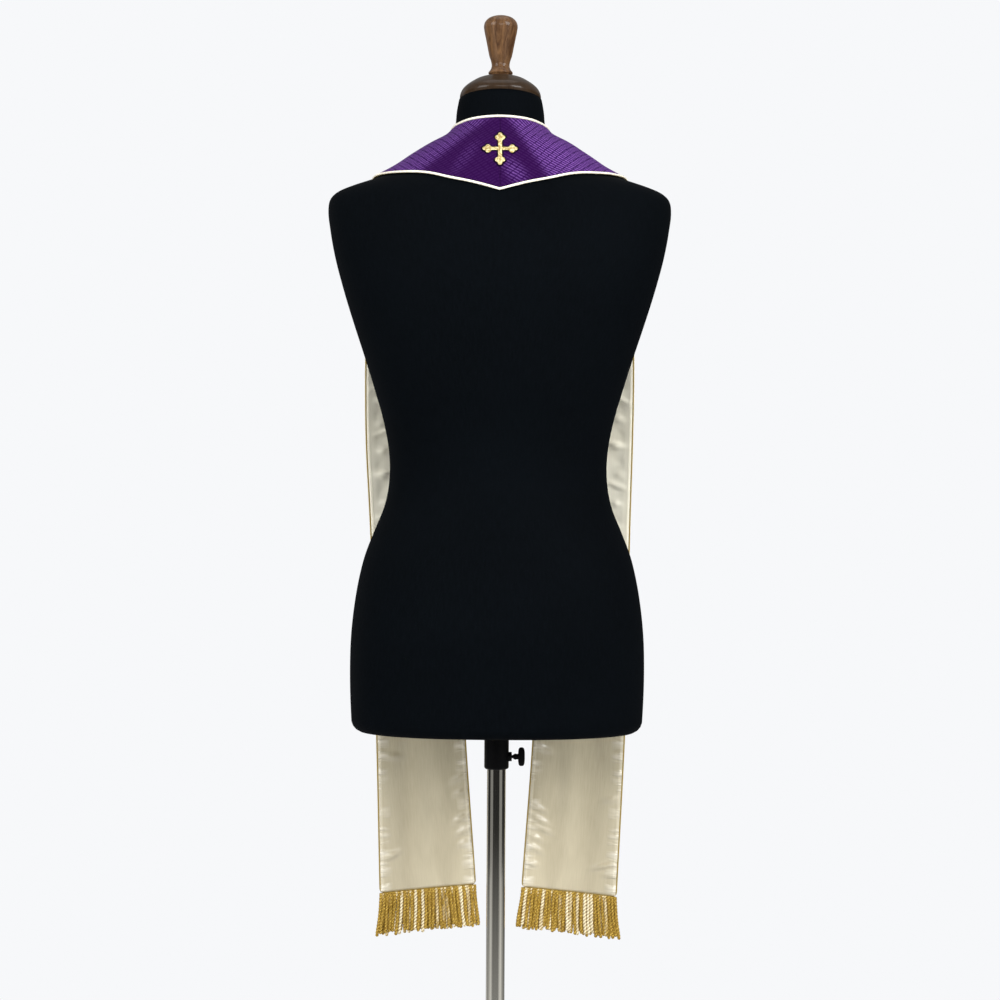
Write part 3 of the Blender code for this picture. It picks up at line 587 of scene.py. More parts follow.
# Cross lines of one half, from the centre of the back to its end: the neck edge, the outer edge, how far
# the middle stands forward, how closely it clings to the torso, its share of the lean, and how far it is
# from the line before, as a share of the curve.
STOLE_LINES = (
    (0.0, 0.05, 1.4335, 0.0, 0.0905, 1.3462, 0.0, 1.0, 0.0, 0),
    (0.018, 0.047, 1.4328, 0.03, 0.0865, 1.3545, 0.0, 1.0, 0.0, 2),
    (0.034, 0.0386, 1.4314, 0.06, 0.0802, 1.361, 0.0, 1.0, 0.0, 2),
    (0.0445, 0.027, 1.4286, 0.0895, 0.0664, 1.3672, 0.0, 1.0, 0.0, 2),
    (0.05, 0.0147, 1.4262, 0.115, 0.0503, 1.369, 0.0, 1.0, 0.0, 2),
    (0.0525, 0.005, 1.4238, 0.1345, 0.029, 1.3692, 0.0, 1.0, 0.0, 2),
    (0.054, -0.007, 1.4212, 0.1455, 0.002, 1.3685, 0.0, 1.0, 0.0, 2),
    (0.0552, -0.024, 1.415, 0.149, -0.025, 1.364, 0.0, 0.9, 0.0, 2),
    (0.0565, -0.043, 1.404, 0.1525, -0.0465, 1.353, 0.001, 0.6, 0.1, 2),
    (0.0575, -0.06, 1.378, 0.1558, -0.066, 1.324, 0.003, 0.2, 0.3, 2),
    (0.0585, -0.0775, 1.335, 0.159, -0.08, 1.278, 0.004, 0.0, 0.5, 3),
    (0.059, -0.097, 1.282, 0.1612, -0.0955, 1.23, 0.009, 0.0, 0.7, 3),
    (0.059, -0.118, 1.225, 0.1625, -0.1095, 1.178, 0.013, 0.0, 0.9, 3),
    (0.0585, -0.133, 1.18, 0.1632, -0.119, 1.138, 0.014, 0.0, 1.0, 2),
    (0.0565, -0.139, 1.1, 0.1625, -0.124, 1.066, 0.012, 0.0, 1.0, 3),
    (0.052, -0.141, 0.96, 0.1595, -0.129, 0.936, 0.008, 0.0, 1.0, 4),
    (0.045, -0.143, 0.735, 0.1515, -0.134, 0.72, 0.005, 0.0, 1.0, 4),
    (0.0325, -0.144, 0.513, 0.1435, -0.137, 0.503, 0.003, 0.0, 1.0, 4),
)
# Soft creases of each half, troughs (-) and ridges (+): mm from the centre back along the middle of the
# band, share across it from the neck edge, half length and half width in mm, turn in degrees, height in mm.
CREASES = {
    "left": (
        (30, 0.55, 30, 6, 70, -0.5), (118, 0.25, 20, 5, 35, -0.7), (150, 0.7, 34, 7, -60, 0.8),
        (172, 0.62, 30, 6, -64, -0.9), (240, 0.25, 32, 8, 80, 0.9), (268, 0.7, 45, 9, 96, -1.1),
        (330, 0.35, 60, 12, 12, 1.4), (395, 0.68, 50, 10, -16, -1.3), (470, 0.3, 70, 12, 6, -1.5),
        (545, 0.75, 42, 9, 24, 1.1), (610, 0.45, 85, 13, -5, 1.6), (690, 0.78, 50, 10, -12, -1.2),
        (745, 0.22, 62, 10, 9, -1.3), (820, 0.55, 95, 15, 3, 1.8), (900, 0.8, 45, 10, 14, -1.1),
        (950, 0.3, 70, 12, -6, -1.6), (962, 0.56, 100, 13, 2, -2.0), (1020, 0.7, 60, 12, 5, 1.4),
    ),
    "right": (
        (34, 0.4, 26, 6, 62, -0.5), (110, 0.3, 22, 5, 40, 0.6), (142, 0.66, 36, 7, -52, -0.8),
        (180, 0.78, 24, 6, -70, 0.8), (232, 0.4, 36, 8, 88, -1.0), (285, 0.66, 40, 9, 76, 1.1),
        (345, 0.28, 52, 11, -14, -1.3), (420, 0.7, 66, 12, 8, 1.5), (500, 0.24, 45, 9, -20, 1.0),
        (560, 0.62, 78, 12, 4, -1.6), (650, 0.3, 60, 12, 12, 1.5), (720, 0.74, 48, 10, -9, 1.2),
        (790, 0.42, 90, 14, -4, -1.8), (870, 0.76, 52, 10, 16, -1.2), (935, 0.28, 65, 12, 7, 1.5),
        (975, 0.42, 85, 12, -3, -1.7), (1010, 0.68, 70, 13, -6, 1.4),
    ),
}
# Short dimples and swells beside the outer edge, from the chest to the hip, where the seam draws the cloth:
# mm along, how far in, half length, half width, turn from straight across in degrees, height in mm.
PULLS = {
    "left": (
        (418, 15.3, 7.9, 4.9, 16, -2.5), (436, 12.5, 5.8, 4.3, -24, 0.6), (452, 16.7, 7.5, 4.9, 10, -2.7),
        (470, 13.9, 6.2, 4.4, -12, 0.7), (484, 16, 7, 4.7, 20, -2.3), (501, 14.6, 7.5, 4.9, -8, 0.8),
        (519, 17.4, 7, 4.8, 18, -2.9), (535, 13.2, 6.2, 4.3, -16, 0.7), (550, 16.7, 7.9, 4.9, 6, -2.5),
        (569, 13.9, 6.2, 4.6, -20, 0.7), (586, 16, 7.5, 4.9, 12, -2.7), (607, 13.2, 6.6, 4.7, -10, 0.6),
        (626, 15.3, 7, 4.9, 14, -2.2),
    ),
    "right": (
        (424, 13.9, 7, 4.9, -12, 0.8), (442, 16.7, 7.5, 4.8, 18, -2.5), (459, 13.2, 6.2, 4.4, -18, 0.7),
        (475, 16, 7.9, 5, 8, -2.7), (494, 13.2, 6.6, 4.4, -24, 0.6), (510, 16.7, 7, 4.8, 14, -2.3),
        (530, 13.9, 7.5, 4.8, -6, 0.8), (546, 12.5, 5.8, 4.3, 24, -1.8), (564, 16, 7.9, 5, -14, 0.7),
        (584, 14.6, 6.2, 4.6, 10, -2.7), (604, 16.7, 7, 4.7, -18, 0.7), (622, 13.9, 7.5, 4.9, 8, -2.2),
    ),
}
# Each half hangs a little askew. How far towards +X its neck edge and its outer edge go at the last lines.
SWAY = {
    "left": ((0.0, -0.0038), (0.0, -0.0030), (-0.0036, -0.0008)),
    "right": ((0.0, 0.0), (-0.0035, -0.0045), (-0.0015, -0.0030)),
}


def unit(vectors):
    """Vectors over their lengths."""
    return vectors / np.maximum(np.linalg.norm(vectors, axis=-1, keepdims=True), 1e-12)


def lengths_along(points, axis):
    """Distances from the first point to each of the others, measured along an axis of a grid."""
    steps = np.linalg.norm(np.diff(points, axis=axis), axis=-1)
    return np.insert(np.cumsum(steps, axis=axis), 0, 0.0, axis=axis)


def pushed_out(points, clearance):
    """Points that are nearer to the torso than the clearance, moved out of it by a step."""
    gap, away = torso_gap(points)
    return points + away * np.clip(clearance - gap, 0, PUSH_LIMIT)


def turned_to(first, second, degrees):
    """Two coordinates on axes turned by degrees: first cos + second sin, and second cos - first sin."""
    turn = math.radians(degrees)
    return first * math.cos(turn) + second * math.sin(turn), second * math.cos(turn) - first * math.sin(turn)


def swell(first, second, half_length, half_width, degrees, height):
    """height exp(-(l / half_length)^2 - (w / half_width)^2), its sizes in mm, with l and w on turned axes."""
    length, breadth = turned_to(first * 1000, second * 1000, degrees)
    return height / 1000 * np.exp(-((length / half_length) ** 2) - (breadth / half_width) ** 2)


def lie_of_half(word, side):
    """The under side of one half as a grid, rows by places across, at rest on the torso and hanging.

    The cross lines are carried smoothly into rows. A row that clings is drawn onto the torso, the rest is
    pulled taut along its length, and all of it is kept out of the torso by turns.
    """
    table = np.array(STOLE_LINES)
    table[-3:, [0, 3]] += side * np.array(SWAY[word])
    knots = np.cumsum(table[:, 9])
    at = np.linspace(0, knots[-1], 2000)
    line = smooth_through(table[:, :9], knots, at)
    middle = (line[:, 0:3] + line[:, 3:6]) / 2
    travelled = lengths_along(middle, 0)
    even = np.interp(np.linspace(0, travelled[-1], STOLE_ROWS), travelled, at)
    line = smooth_through(table[:, :9], knots, even)
    across = np.linspace(0, 1, STOLE_PLACES)
    neck, outer = line[:, None, 0:3], line[:, None, 3:6]
    grid = neck + (outer - neck) * across[:, None]
    grid[..., 1] -= line[:, 6:7] * 4 * across * (1 - across)
    grid[..., 0] = side * grid[..., 0] + HANG_LEAN * line[:, 8:9]
    grid[..., 2] += side * HANG_RISE * line[:, 8:9]
    cling = np.clip(line[:, 7], 0, 1)[:, None, None]
    for _ in range(4):
        gap, away = torso_gap(grid)
        grid += away * (cling * (SKIN_CLEARANCE - gap) + (1 - cling) * np.maximum(SKIN_CLEARANCE - gap, 0))
    slack = (1 - cling)[1:-1]
    for _ in range(TAUT_TURNS):
        grid[1:-1] += slack * (grid[:-2] - 2 * grid[1:-1] + grid[2:]) / 4
        grid = pushed_out(grid, SKIN_CLEARANCE)
    grid[0, :, 0] = side * LAYER_GAP / 2
    return grid


def flat_of(grid, share=1.0):
    """The half laid flat, as cut: each row turned by how much longer the outer edge is than the neck edge
    there, over the width, and set down after the one before. share is how much of the turn it takes."""
    widths = lengths_along(grid, 1)
    steps = np.linalg.norm(np.diff(grid, axis=0), axis=-1)
    width = widths[:, -1]
    turn = share * np.r_[0, np.cumsum((steps[:, -1] - steps[:, 0]) / ((width[1:] + width[:-1]) / 2))]
    ahead = stacked(np.cos(turn), np.sin(turn))
    moves = ((ahead[1:] + ahead[:-1]) / 2) * steps.mean(axis=1)[:, None]
    centre = np.vstack([[0.0, 0.0], np.cumsum(moves, axis=0)])
    upward = stacked(-ahead[:, 1], ahead[:, 0])
    flat = centre[:, None] + upward[:, None] * (width[:, None] / 2 - widths)[..., None]
    ends = np.array([[ahead[-1, 0], ahead[-1, 1]], [-ahead[-1, 1], ahead[-1, 0]]])
    spread = np.ptp(flat.reshape(-1, 2) @ ends.T, axis=0)
    area = float((np.linalg.norm(moves, axis=1) * (width[1:] + width[:-1]) / 2).sum())
    return flat, (float(spread[1]), float(spread[0])), area


def outward_of(grid, side):
    """Which way a half faces: its slope down the rows cross that over the places, times its side."""
    out = unit(side * np.cross(np.gradient(grid, axis=0), np.gradient(grid, axis=1)))
    out[0, :, 0] = 0
    return unit(out)


halves = {}
for side, word in ((1, "left"), (-1, "right")):
    half = halves[word] = SimpleNamespace(side=side)
    grid = lie_of_half(word, side)
    _, half.cut, half.area = flat_of(grid)
    half.flat, _, _ = flat_of(grid, GRAIN_TURN)
    out = outward_of(grid, side)
    share = np.linspace(0, 1, STOLE_PLACES)
    half.width = lengths_along(grid, 1)[:, -1:]
    half.travelled = lengths_along(grid, 0).mean(axis=1)[:, None] + 0 * share
    half.from_neck = share * half.width
    from_outer = (1 - share) * half.width
    half.edge = np.minimum(half.from_neck, from_outer)
    height = np.zeros(grid.shape[:2])
    for along, across, *size in CREASES[word]:
        height += swell(half.travelled - along / 1000, (share - across) * half.width, *size)
    held = 1 - np.exp(-((from_outer / PULL_FADE) ** 2))
    for along, inset, *size in PULLS[word]:
        height += swell(from_outer - inset / 1000, half.travelled - along / 1000, *size) * held
    gap, _ = torso_gap(grid + out * height[..., None])
    height += np.maximum(LEAST_CLEARANCE - gap[..., 0], 0)
    half.grid = grid + out * height[..., None]
    half.out = outward_of(half.grid, side)

# ---------------------------------------------------------------- stole: lining
# The inner layer of each half, cream satin, bagged out to the outer panel and pressed, so that a narrow
# band of it lies flat along its edges. Where it hangs free, puckers and short ripples run in from the seams.

SEAM_BAND = 0.007
SEAM_REACH = 0.0014  # of the lining's edge over the piping
SEAM_RIDGE = (0.0004, 0.0015)  # height and half width of the pressed band's inner edge
FREE_GAP = (0.002, 0.008)  # off the torso, between which the lining gets free to pucker
# Puckers of each lining: mm along, edge (0 neck, 1 outer), mm in, half length, half width, turn from
# straight across in degrees, height in mm.
PUCKERS = {
    "left": (
        (436, 1, 16, 12, 4, -8, 3.0), (495, 1, 23, 13, 3.8, 3, 3.0), (548, 1, 17, 10, 3.4, -10, 2.7),
        (602, 1, 20, 14, 4.2, 6, 3.3), (905, 1, 16, 11, 4, -14, 3.0), (943, 0, 10, 10, 3.2, 20, 3.6),
        (961, 0, 9, 8, 3, 14, 3.9), (993, 0, 11, 9, 3.2, 22, 4.5), (1009, 0, 9, 8, 3, 16, 4.2),
        (1023, 0, 8, 8, 3, 20, 3.6), (1030, 1, 13, 10, 3.4, 24, 3.9),
    ),
    "right": (
        (449, 1, 14, 9, 3.4, 12, 2.7), (510, 1, 22, 14, 4.2, -7, 3.0), (561, 1, 17, 10, 3.6, 5, 3.0),
        (615, 1, 21, 12, 3.6, -9, 2.7), (905, 0, 12, 10, 4, 10, 3.0), (957, 1, 10, 9, 3.4, -16, 3.0),
        (979, 0, 10, 9, 3.2, 22, 3.9), (993, 0, 13, 12, 3, 26, 4.5), (1004, 0, 18, 12, 2.8, 20, 3.3),
        (1016, 0, 9, 8, 3, 18, 3.9), (1029, 0, 10, 9, 3.2, 24, 3.6), (1041, 1, 14, 13, 2.8, -20, 4.8),
        (1048, 0, 8, 7, 3, 14, 3.3), (1052, 1, 7, 7, 3, -12, 3.0),
    ),
}
HANGING = (0.68, 0.86)  # metres along, over which the lining comes to hang free
# Below the torso's hem a painted shade darkens the satin's tone, and further down it gives way to a lighter
# tone: metres along where each begins and ends, the tone's dark and its light.
SATIN_PAINTED_SHADE = ((*HANGING, "#7A7158", "#A39B83"), (0.88, 1.04, "#958A70", "#C9BFA4"))

# Polyester satin, heat pressed: cream, with a painted shade where it hangs below the torso, and a soft gloss
# that stretches across its warp threads. The warp is drawn 1.5 mm apart, coarser than the real 0.2 mm, so
# that its streaks show.
satin, add, shader = new_material(
    "cream_satin_lining", Roughness=0.31, Specular_IOR_Level=0.9, Anisotropic=0.4, Sheen_Weight=0.06
)
uv = add("UVMap")
stretched = add("Mapping", {"Vector": uv, "Scale": (45.0, 700.0, 1.0)})
streaks = add("TexNoise", (stretched, 1.0, 3.0))
lengthwise = add("Mapping", {"Vector": uv, "Scale": (11.0, 30.0, 1.0)})
clouds = add("TexNoise", {"Vector": lengthwise, "Scale": 1.0, "Detail": 3.0, "Distortion": 0.4})
along = add("Attribute", attribute_name="travelled").outputs["Fac"]
inset = add("Attribute", attribute_name="edge_distance").outputs["Fac"]
tone = add("Mix", (clouds, "#FAF5DE", "#FFFDEE"), data_type="RGBA")
# Painted shade: the satin is painted darker where it hangs under the torso's hem, and lighter again further
# down.
for start, stop, dark, light in SATIN_PAINTED_SHADE:
    shaded_tone = add("Mix", (clouds, dark, light), data_type="RGBA")
    shade_share = add("MapRange", (along, start, stop))
    tone = add("Mix", (shade_share, tone, shaded_tone), data_type="RGBA")
thread = add("MapRange", (streaks, 0.0, 1.0, 0.0, 0.35))
threads = add("Mix", (thread, tone, "#DAD1B6"), data_type="RGBA")
# The lighter band along the edges is partly the satin's own pressed finish and partly a painted highlight
# where its turned edge catches the light.
band = add("MapRange", (inset, SEAM_BAND * 0.5, SEAM_BAND * 0.3, 0.0, 0.25))
pressed_and_highlit = add("Mix", (band, threads, "#E6DEC8"), data_type="RGBA")
weave = add("Bump", {"Height": streaks, "Strength": 0.15, "Distance": 0.0003})
# Where the needle has gathered the satin, short ripples run in from the seams.
place = add("CombineXYZ", (along, inset))
gathered = add("Mapping", {"Vector": place, "Scale": (95.0, 22.0, 1.0), "Rotation": (0, 0, 0.25)})
ripples = add("TexNoise", (gathered, 1.0, 2.0))
ripples = add("MapRange", (ripples, 0.46, 0.76))
near = add("MapRange", (inset, 0.014, 0.002))
near = add("Math", (near, add("MapRange", (along, *HANGING))), operation="MULTIPLY")
ripples = add("Math", (ripples, near), operation="MULTIPLY")
# Painted highlight: the ripples' crests are painted lighter, as if they caught the light.
crest_highlight = add("Math", (ripples, 0.55), operation="MULTIPLY")
crest_lit_tone = add("Mix", (crest_highlight, pressed_and_highlit, "#FFFAEC"), data_type="RGBA")
bump = add("Bump", {"Height": ripples, "Normal": weave, "Strength": 0.9, "Distance": 0.0035})
feed(shader, {"Base Color": crest_lit_tone, "Normal": bump})


def set_attribute(mesh, name, values):
    """Gives each point of a mesh a number, for its material to read."""
    layer = mesh.attributes.new(name, "FLOAT", "POINT")
    layer.data.foreach_set("value", np.asarray(values, np.float32).ravel())


def cloth_piece(name, grid, half, uv, thickness, material):
    """A layer of a half: the grid as its under side, thickened outwards by a modifier."""
    piece = add_piece(name, grid, material, uv=uv, flip=half.side < 0)
    set_attribute(piece.data, "edge_distance", half.edge)
    set_attribute(piece.data, "travelled", half.travelled)
    wall = piece.modifiers.new("wall", "SOLIDIFY")
    wall.thickness = thickness
    wall.offset = 1.0
    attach(piece, "form")
    return piece


for word, half in halves.items():
    height = np.zeros(half.edge.shape)
    for along, edge, inset, *size in PUCKERS[word]:
        inset = half.width - inset / 1000 if edge else inset / 1000
        height += swell(half.from_neck - inset, half.travelled - along / 1000, *size)
    height += SEAM_RIDGE[0] * np.exp(-(((half.edge - SEAM_BAND) / SEAM_RIDGE[1]) ** 2))
    # Where the lining lies on the form a pucker can only stand up into the gap below the outer panel.
    gap, _ = torso_gap(half.grid)
    lining = half.grid - half.out * (height * between(gap[..., 0], *FREE_GAP))[..., None]
    lining[:, 0] += unit(lining[:, 0] - lining[:, 1]) * SEAM_REACH
    lining[:, -1] += unit(lining[:, -1] - lining[:, -2]) * SEAM_REACH
    lining[-1] += unit(lining[-1] - lining[-2]) * SEAM_REACH
    along_band = stacked(half.travelled, half.from_neck)
    piece = cloth_piece("lining_" + word, lining, half, along_band, LINING_THICKNESS, satin)
    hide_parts("stole_lining_" + word)

# ---------------------------------------------------------------- stole: outer panels
# Purple brocade whose figure is a diagonal lattice: short floats in rows, cut by dark lines. The two
# halves are mirrored, and a painted sheen lightens one half's floats and ground and leaves the other's dark.

FLOAT_AXIS = -38.0  # degrees from straight out at the centre back, in the flat cut
LINE_AXIS = 45.0
FLOAT_PITCH = 0.0033
LINE_PITCH = 0.0076
WANDER = 0.0018
EDGE_TUCK = (0.0011, 0.0016)  # how far the panel is drawn down beside the piping, and over which width
SEAM_TUCK = (0.0006, 0.0018)  # and beside the seam at the centre of the back
# Painted sheen: on each half the floats and the ground are painted lighter beyond a soft bound: a point on
# it, metres out from the centre back and height, its turn in degrees, its softness and strength.
PAINTED_SHEEN_BOUND = {
    "right": (0.0125, 1.4275, -57, 0.007, 0.68),
    "left": (0.0235, 1.4245, -40, 0.007, 0.55),
}
# Patches of painted sheen besides: metres out, height, half length, half width, turn in degrees, strength.
PAINTED_SHEEN_PATCHES = {
    "right": ((0.017, 1.366, 0.018, 0.010, -52, 0.45), (0.075, 1.385, 0.030, 0.014, -32, 0.15)),
    "left": ((0.039, 1.384, 0.024, 0.007, -54, 0.14), (0.112, 1.378, 0.026, 0.009, -24, 0.10)),
}
PAINTED_SHEEN_LEAST = 0.05
PAINTED_SHEEN_BEYOND = 0.55  # past the top of the shoulders
SHOULDER_TOP = (0.15, 0.22)  # metres along, over which it takes over

# Rayon and metallised brocade, jacquard woven: floats that shine along their rows on a matt dark ground.
brocade, add, shader = new_material(
    "purple_brocade",
    Metallic=0.05,
    Specular_IOR_Level=0.03,
    Anisotropic=0.5,
    Anisotropic_Rotation=(FLOAT_AXIS + 90) / 360,
)
# The painted sheen attribute is painted light: it lightens the floats and the ground where it is strong.
painted_sheen = add("Attribute", attribute_name="painted_sheen").outputs["Fac"]
uv = add("UVMap")
wander = add("TexNoise", (uv, 160.0, 2.0)).outputs["Color"]
shifted = add("VectorMath", (wander, (WANDER, WANDER, 0), uv), operation="MULTIPLY_ADD")


def striped(pitch, degrees):
    """0 to 1 and back across stripes that run at an angle in the flat cut, a pitch apart."""
    turn = math.radians(degrees)
    across = (-math.sin(turn) / pitch, math.cos(turn) / pitch, 0)
    share = add("VectorMath", (shifted, across), operation="DOT_PRODUCT").outputs["Value"]
    share = add("Math", (share, 0.5), operation="PINGPONG")
    return add("Math", (share, 2.0), operation="MULTIPLY")


row = add("MapRange", (striped(FLOAT_PITCH, FLOAT_AXIS), 0.30, 0.85))
rising = add("MapRange", (striped(LINE_PITCH, LINE_AXIS), 0.06, 0.30))
falling = add("MapRange", (striped(2 * FLOAT_PITCH, FLOAT_AXIS), 0.02, 0.26, 0.25))
line = add("Math", (rising, falling), operation="MULTIPLY")
broken = add("TexNoise", (uv, 240.0, 1.0))
broken = add("MapRange", (broken, 0.45, 0.65, 0.0, 0.8))
line = add("Mix", (broken, line, 1.0))
tick = add("MapRange", (striped(LINE_PITCH / 2, LINE_AXIS), 0.05, 0.40, 0.55))
uneven = add("TexNoise", (uv, 260.0, 3.0))
uneven = add("MapRange", (uneven, 0.3, 0.7, 0.55))
floats = row
for factor in (line, tick, uneven, painted_sheen):
    floats = add("Math", (floats, factor), operation="MULTIPLY")
# Painted sheen: lit and shaded copies of the lines and the ground, mixed by the painted sheen.
lit_line = add("Mix", (painted_sheen, "#240337", "#260B42"), data_type="RGBA")
lit_ground = add("Mix", (painted_sheen, "#250438", "#361557"), data_type="RGBA")
ground = add("Mix", (line, lit_line, lit_ground), data_type="RGBA")
tone = add("Mix", (floats, ground, "#9062B3"), data_type="RGBA")
gloss = add("MapRange", (floats, 0.0, 1.0, 0.65, 0.42))
bump = add("Bump", {"Height": floats, "Strength": 0.45, "Distance": 0.0005})
tangent = add("Tangent", direction_type="UV_MAP", uv_map="UVMap")
feed(shader, {"Base Color": tone, "Roughness": gloss, "Normal": bump, "Tangent": tangent})

for word, half in halves.items():
    tuck = EDGE_TUCK[0] * np.exp(-((half.edge / EDGE_TUCK[1]) ** 2))
    tuck += SEAM_TUCK[0] * np.exp(-((half.travelled / SEAM_TUCK[1]) ** 2))
    grid = half.grid + half.out * (LINING_THICKNESS + LAYER_GAP - tuck)[..., None]
    piece = cloth_piece("outer_" + word, grid, half, half.flat, OUTER_THICKNESS, brocade)
    # The painted sheen of each half, laid on its points from their place on the back.
    out_from_middle, level = np.abs(half.grid[..., 0]), half.grid[..., 2]
    outward, up, turn, softness, strength = PAINTED_SHEEN_BOUND[word]
    _, beyond = turned_to(out_from_middle - outward, level - up, turn)
    painted_shine = PAINTED_SHEEN_LEAST + strength / (1 + np.exp(-beyond / softness * 4))
    for outward, up, half_length, half_width, turn, strength in PAINTED_SHEEN_PATCHES[word]:
        length, breadth = turned_to(out_from_middle - outward, level - up, turn)
        painted_shine += strength * np.exp(-(((length / half_length) ** 2 + (breadth / half_width) ** 2) ** 1.6))
    past_top = between(half.travelled, *SHOULDER_TOP)
    painted_shine = np.minimum(painted_shine, 1) * (1 - past_top) + PAINTED_SHEEN_BEYOND * past_top
    set_attribute(piece.data, "painted_sheen", painted_shine)
    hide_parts("stole_outer_" + word)

# ---------------------------------------------------------------- stole: piping
# A cord covered in a bias strip of pale gold lame, sewn in between the outer panel and the lining all
# round the neck edge, the hem and the outer edge.

PIPING_RADIUS = 0.0014
PIPING_OUT = 0.0002  # of the middle of the layers
PIPING_SIDES = 14
PIPING_POINTS = 1500
PIPING_ROUND = 2 * math.pi * PIPING_RADIUS
CORNER_EASE = 0.0022  # the length over which the cord is bent round a corner


def on_line(at, places, line):
    """Points of a line at distances along it, from the distances of its own points."""
    return stacked(*(np.interp(at, places, axis) for axis in line.T))


def capped(rings, line):
    """Rings along a line, closed at either end by the line's own point."""
    ends = [np.repeat(line[..., [end], :][..., None, :], rings.shape[-2], axis=-2) for end in (0, -1)]
    return np.concatenate([ends[0], rings, ends[1]], axis=-3)


def tube(path, out, radius, sides):
    """A tube: at each point of a path a ring, radius (out cos t + sideways sin t), square to the path.

    radius may vary along the path and round it. The ends close to a point. Paths may be stacked.
    """
    heading = unit(np.gradient(path, axis=-2))
    out = unit(out - (out * heading).sum(axis=-1, keepdims=True) * heading)
    sideways = np.cross(heading, out)
    t = round_angles(sides)[:, None]
    ring = out[..., None, :] * np.cos(t) + sideways[..., None, :] * np.sin(t)
    return capped(path[..., None, :] + ring * radius[..., None], path)


# Lame, a warp of gilded film on a cream ground: near white on the side that faces out with the panel, with
# painted shade in olive gold on the side that turns under, and faint bias ribs 2.4 mm apart.
lame, add, shader = new_material("gold_lame_piping", Roughness=0.42, Metallic=0.10)
uv = add("UVMap")
round_it = add("SeparateXYZ", (uv,)).outputs["Y"]
# Painted shade: the side of the cord that turns under is painted olive gold.
leaving = add("MapRange", (round_it, PIPING_ROUND * 0.26, PIPING_ROUND * 0.32))
returning = add("MapRange", (round_it, PIPING_ROUND * 0.66, PIPING_ROUND * 0.58))
painted_shade_under = add("Math", (leaving, returning), operation="MULTIPLY")
bias = add("Mapping", {"Vector": uv, "Rotation": (0, 0, math.radians(35))})
ribs = add("TexWave", (bias, 65.0, 0.5))
cream = add("Mix", (ribs, "#F1E8D2", "#FBF6E8"), data_type="RGBA")
tone = add("Mix", (painted_shade_under, cream, "#907B3C"), data_type="RGBA")
bump = add("Bump", {"Height": ribs, "Strength": 0.12, "Distance": 0.0004})
feed(shader, {"Base Color": tone, "Normal": bump})

for word, half in halves.items():
    grid, out, side = half.grid, half.out, half.side
    reach = PIPING_RADIUS + LAYER_GAP
    middle = grid + out * (LAYERS / 2 + PIPING_OUT)
    neck_run = middle[:, 0] + unit(grid[:, 0] - grid[:, 1]) * reach
    outer_run = middle[:, -1] + unit(grid[:, -1] - grid[:, -2]) * reach
    hem_run = (middle[-1] + unit(grid[-1] - grid[-2]) * reach)[1:-1]
    path = np.vstack([neck_run, hem_run, outer_run[::-1]])
    outs = np.vstack([out[:, 0], out[-1, 1:-1], out[::-1, -1]])
    travelled = lengths_along(path, 0)
    even = np.linspace(0, travelled[-1], PIPING_POINTS)
    outs = on_line(even, travelled, outs)
    path = softened(on_line(even, travelled, path), even[1], CORNER_EASE)
    for _ in range(3):
        path = pushed_out(path, PIPING_RADIUS + PIPING_OUT)
    path[[0, -1], 0] = -side * LAYER_GAP
    points = tube(path, outs, np.full((PIPING_POINTS, 1), PIPING_RADIUS), PIPING_SIDES)
    # Counted from the side that faces out, first round the side away from the cloth.
    round_share = np.linspace(0, PIPING_ROUND, PIPING_SIDES + 1)[::side]
    run_share = np.r_[0, even, even[-1]][:, None]
    uv = stacked(run_share, round_share)
    piece = add_piece("piping_" + word, points, lame, uv=uv, closed=True, flip=True)
    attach(piece, "form")
    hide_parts("stole_piping_" + word)

# ---------------------------------------------------------------- stole: fringe
# Bullion fringe: two-ply twisted cords of gilt thread in two rows, looped at the bottom, which hang from a
# narrow woven heading that is sewn along the hem.

STRANDS = 28  # in the front row, with one fewer between them in the row behind
HEADING_HEIGHT = 0.0040
HEADING_THICKNESS = 0.0026
HEADING_DROP = 0.0026  # below the hem of the cloth, so that it hides the lower half of the piping
HEADING_BEHIND = 0.0012
HEADING_ROWS = 260
HEADING_SIDES = 20
HEADING_GLINT_SHARE = 0.55
HEADING_RELIEF = 0.10  # how far its ribs thicken and thin it, as a share
STRAND_LENGTH = 0.0500
STRAND_RADIUS = 0.0023
STRAND_SPREAD = 0.0055
STRAND_BACK = 0.0022  # how far the second row hangs behind the first
STRAND_UNEVEN = 0.018  # of its length, and of its place at the bottom in metres, as standard deviations
STRAND_STRAY = 0.0006
SWING_ASIDE = 0.0007  # how far a strand waves aside and forwards on its way down
SWING_FORWARD = 0.0009
PLY_PITCH = 0.0038  # between one ply's bumps and the next
PLY_GROOVE = 0.36  # of the radius
STRAND_ROWS = 110
STRAND_SIDES = 10
FRINGE_SEED = 11

# Gilt bullion thread: gilded film wound on rayon, with painted shade in brown between the plies' crowns.
# Some cords, and stretches of others, carry painted highlights that make them look almost white, and the
# gilt has painted sparkle in fine light and dark flecks.
bullion, add, shader = new_material("gilt_bullion", Roughness=0.36, Metallic=0.35)
parts = add("SeparateXYZ", (add("UVMap"),))
# Painted shade: darker brown down the grooves between the plies.
groove_shade = add("MapRange", (parts.outputs["Y"], 0.2, 0.85, 0.22))
place = add("TexCoord").outputs["Object"]
# Painted highlight: where the noise and a cord's glint share run high, the cord is painted almost white.
stretched = add("Mapping", {"Vector": place, "Scale": (260.0, 260.0, 70.0)})
glint = add("TexNoise", (stretched, 1.0, 2.0))
glint = add("Math", (glint, 0.5, parts.outputs["X"]), operation="MULTIPLY_ADD")
glint = add("MapRange", (glint, 0.90, 1.12))
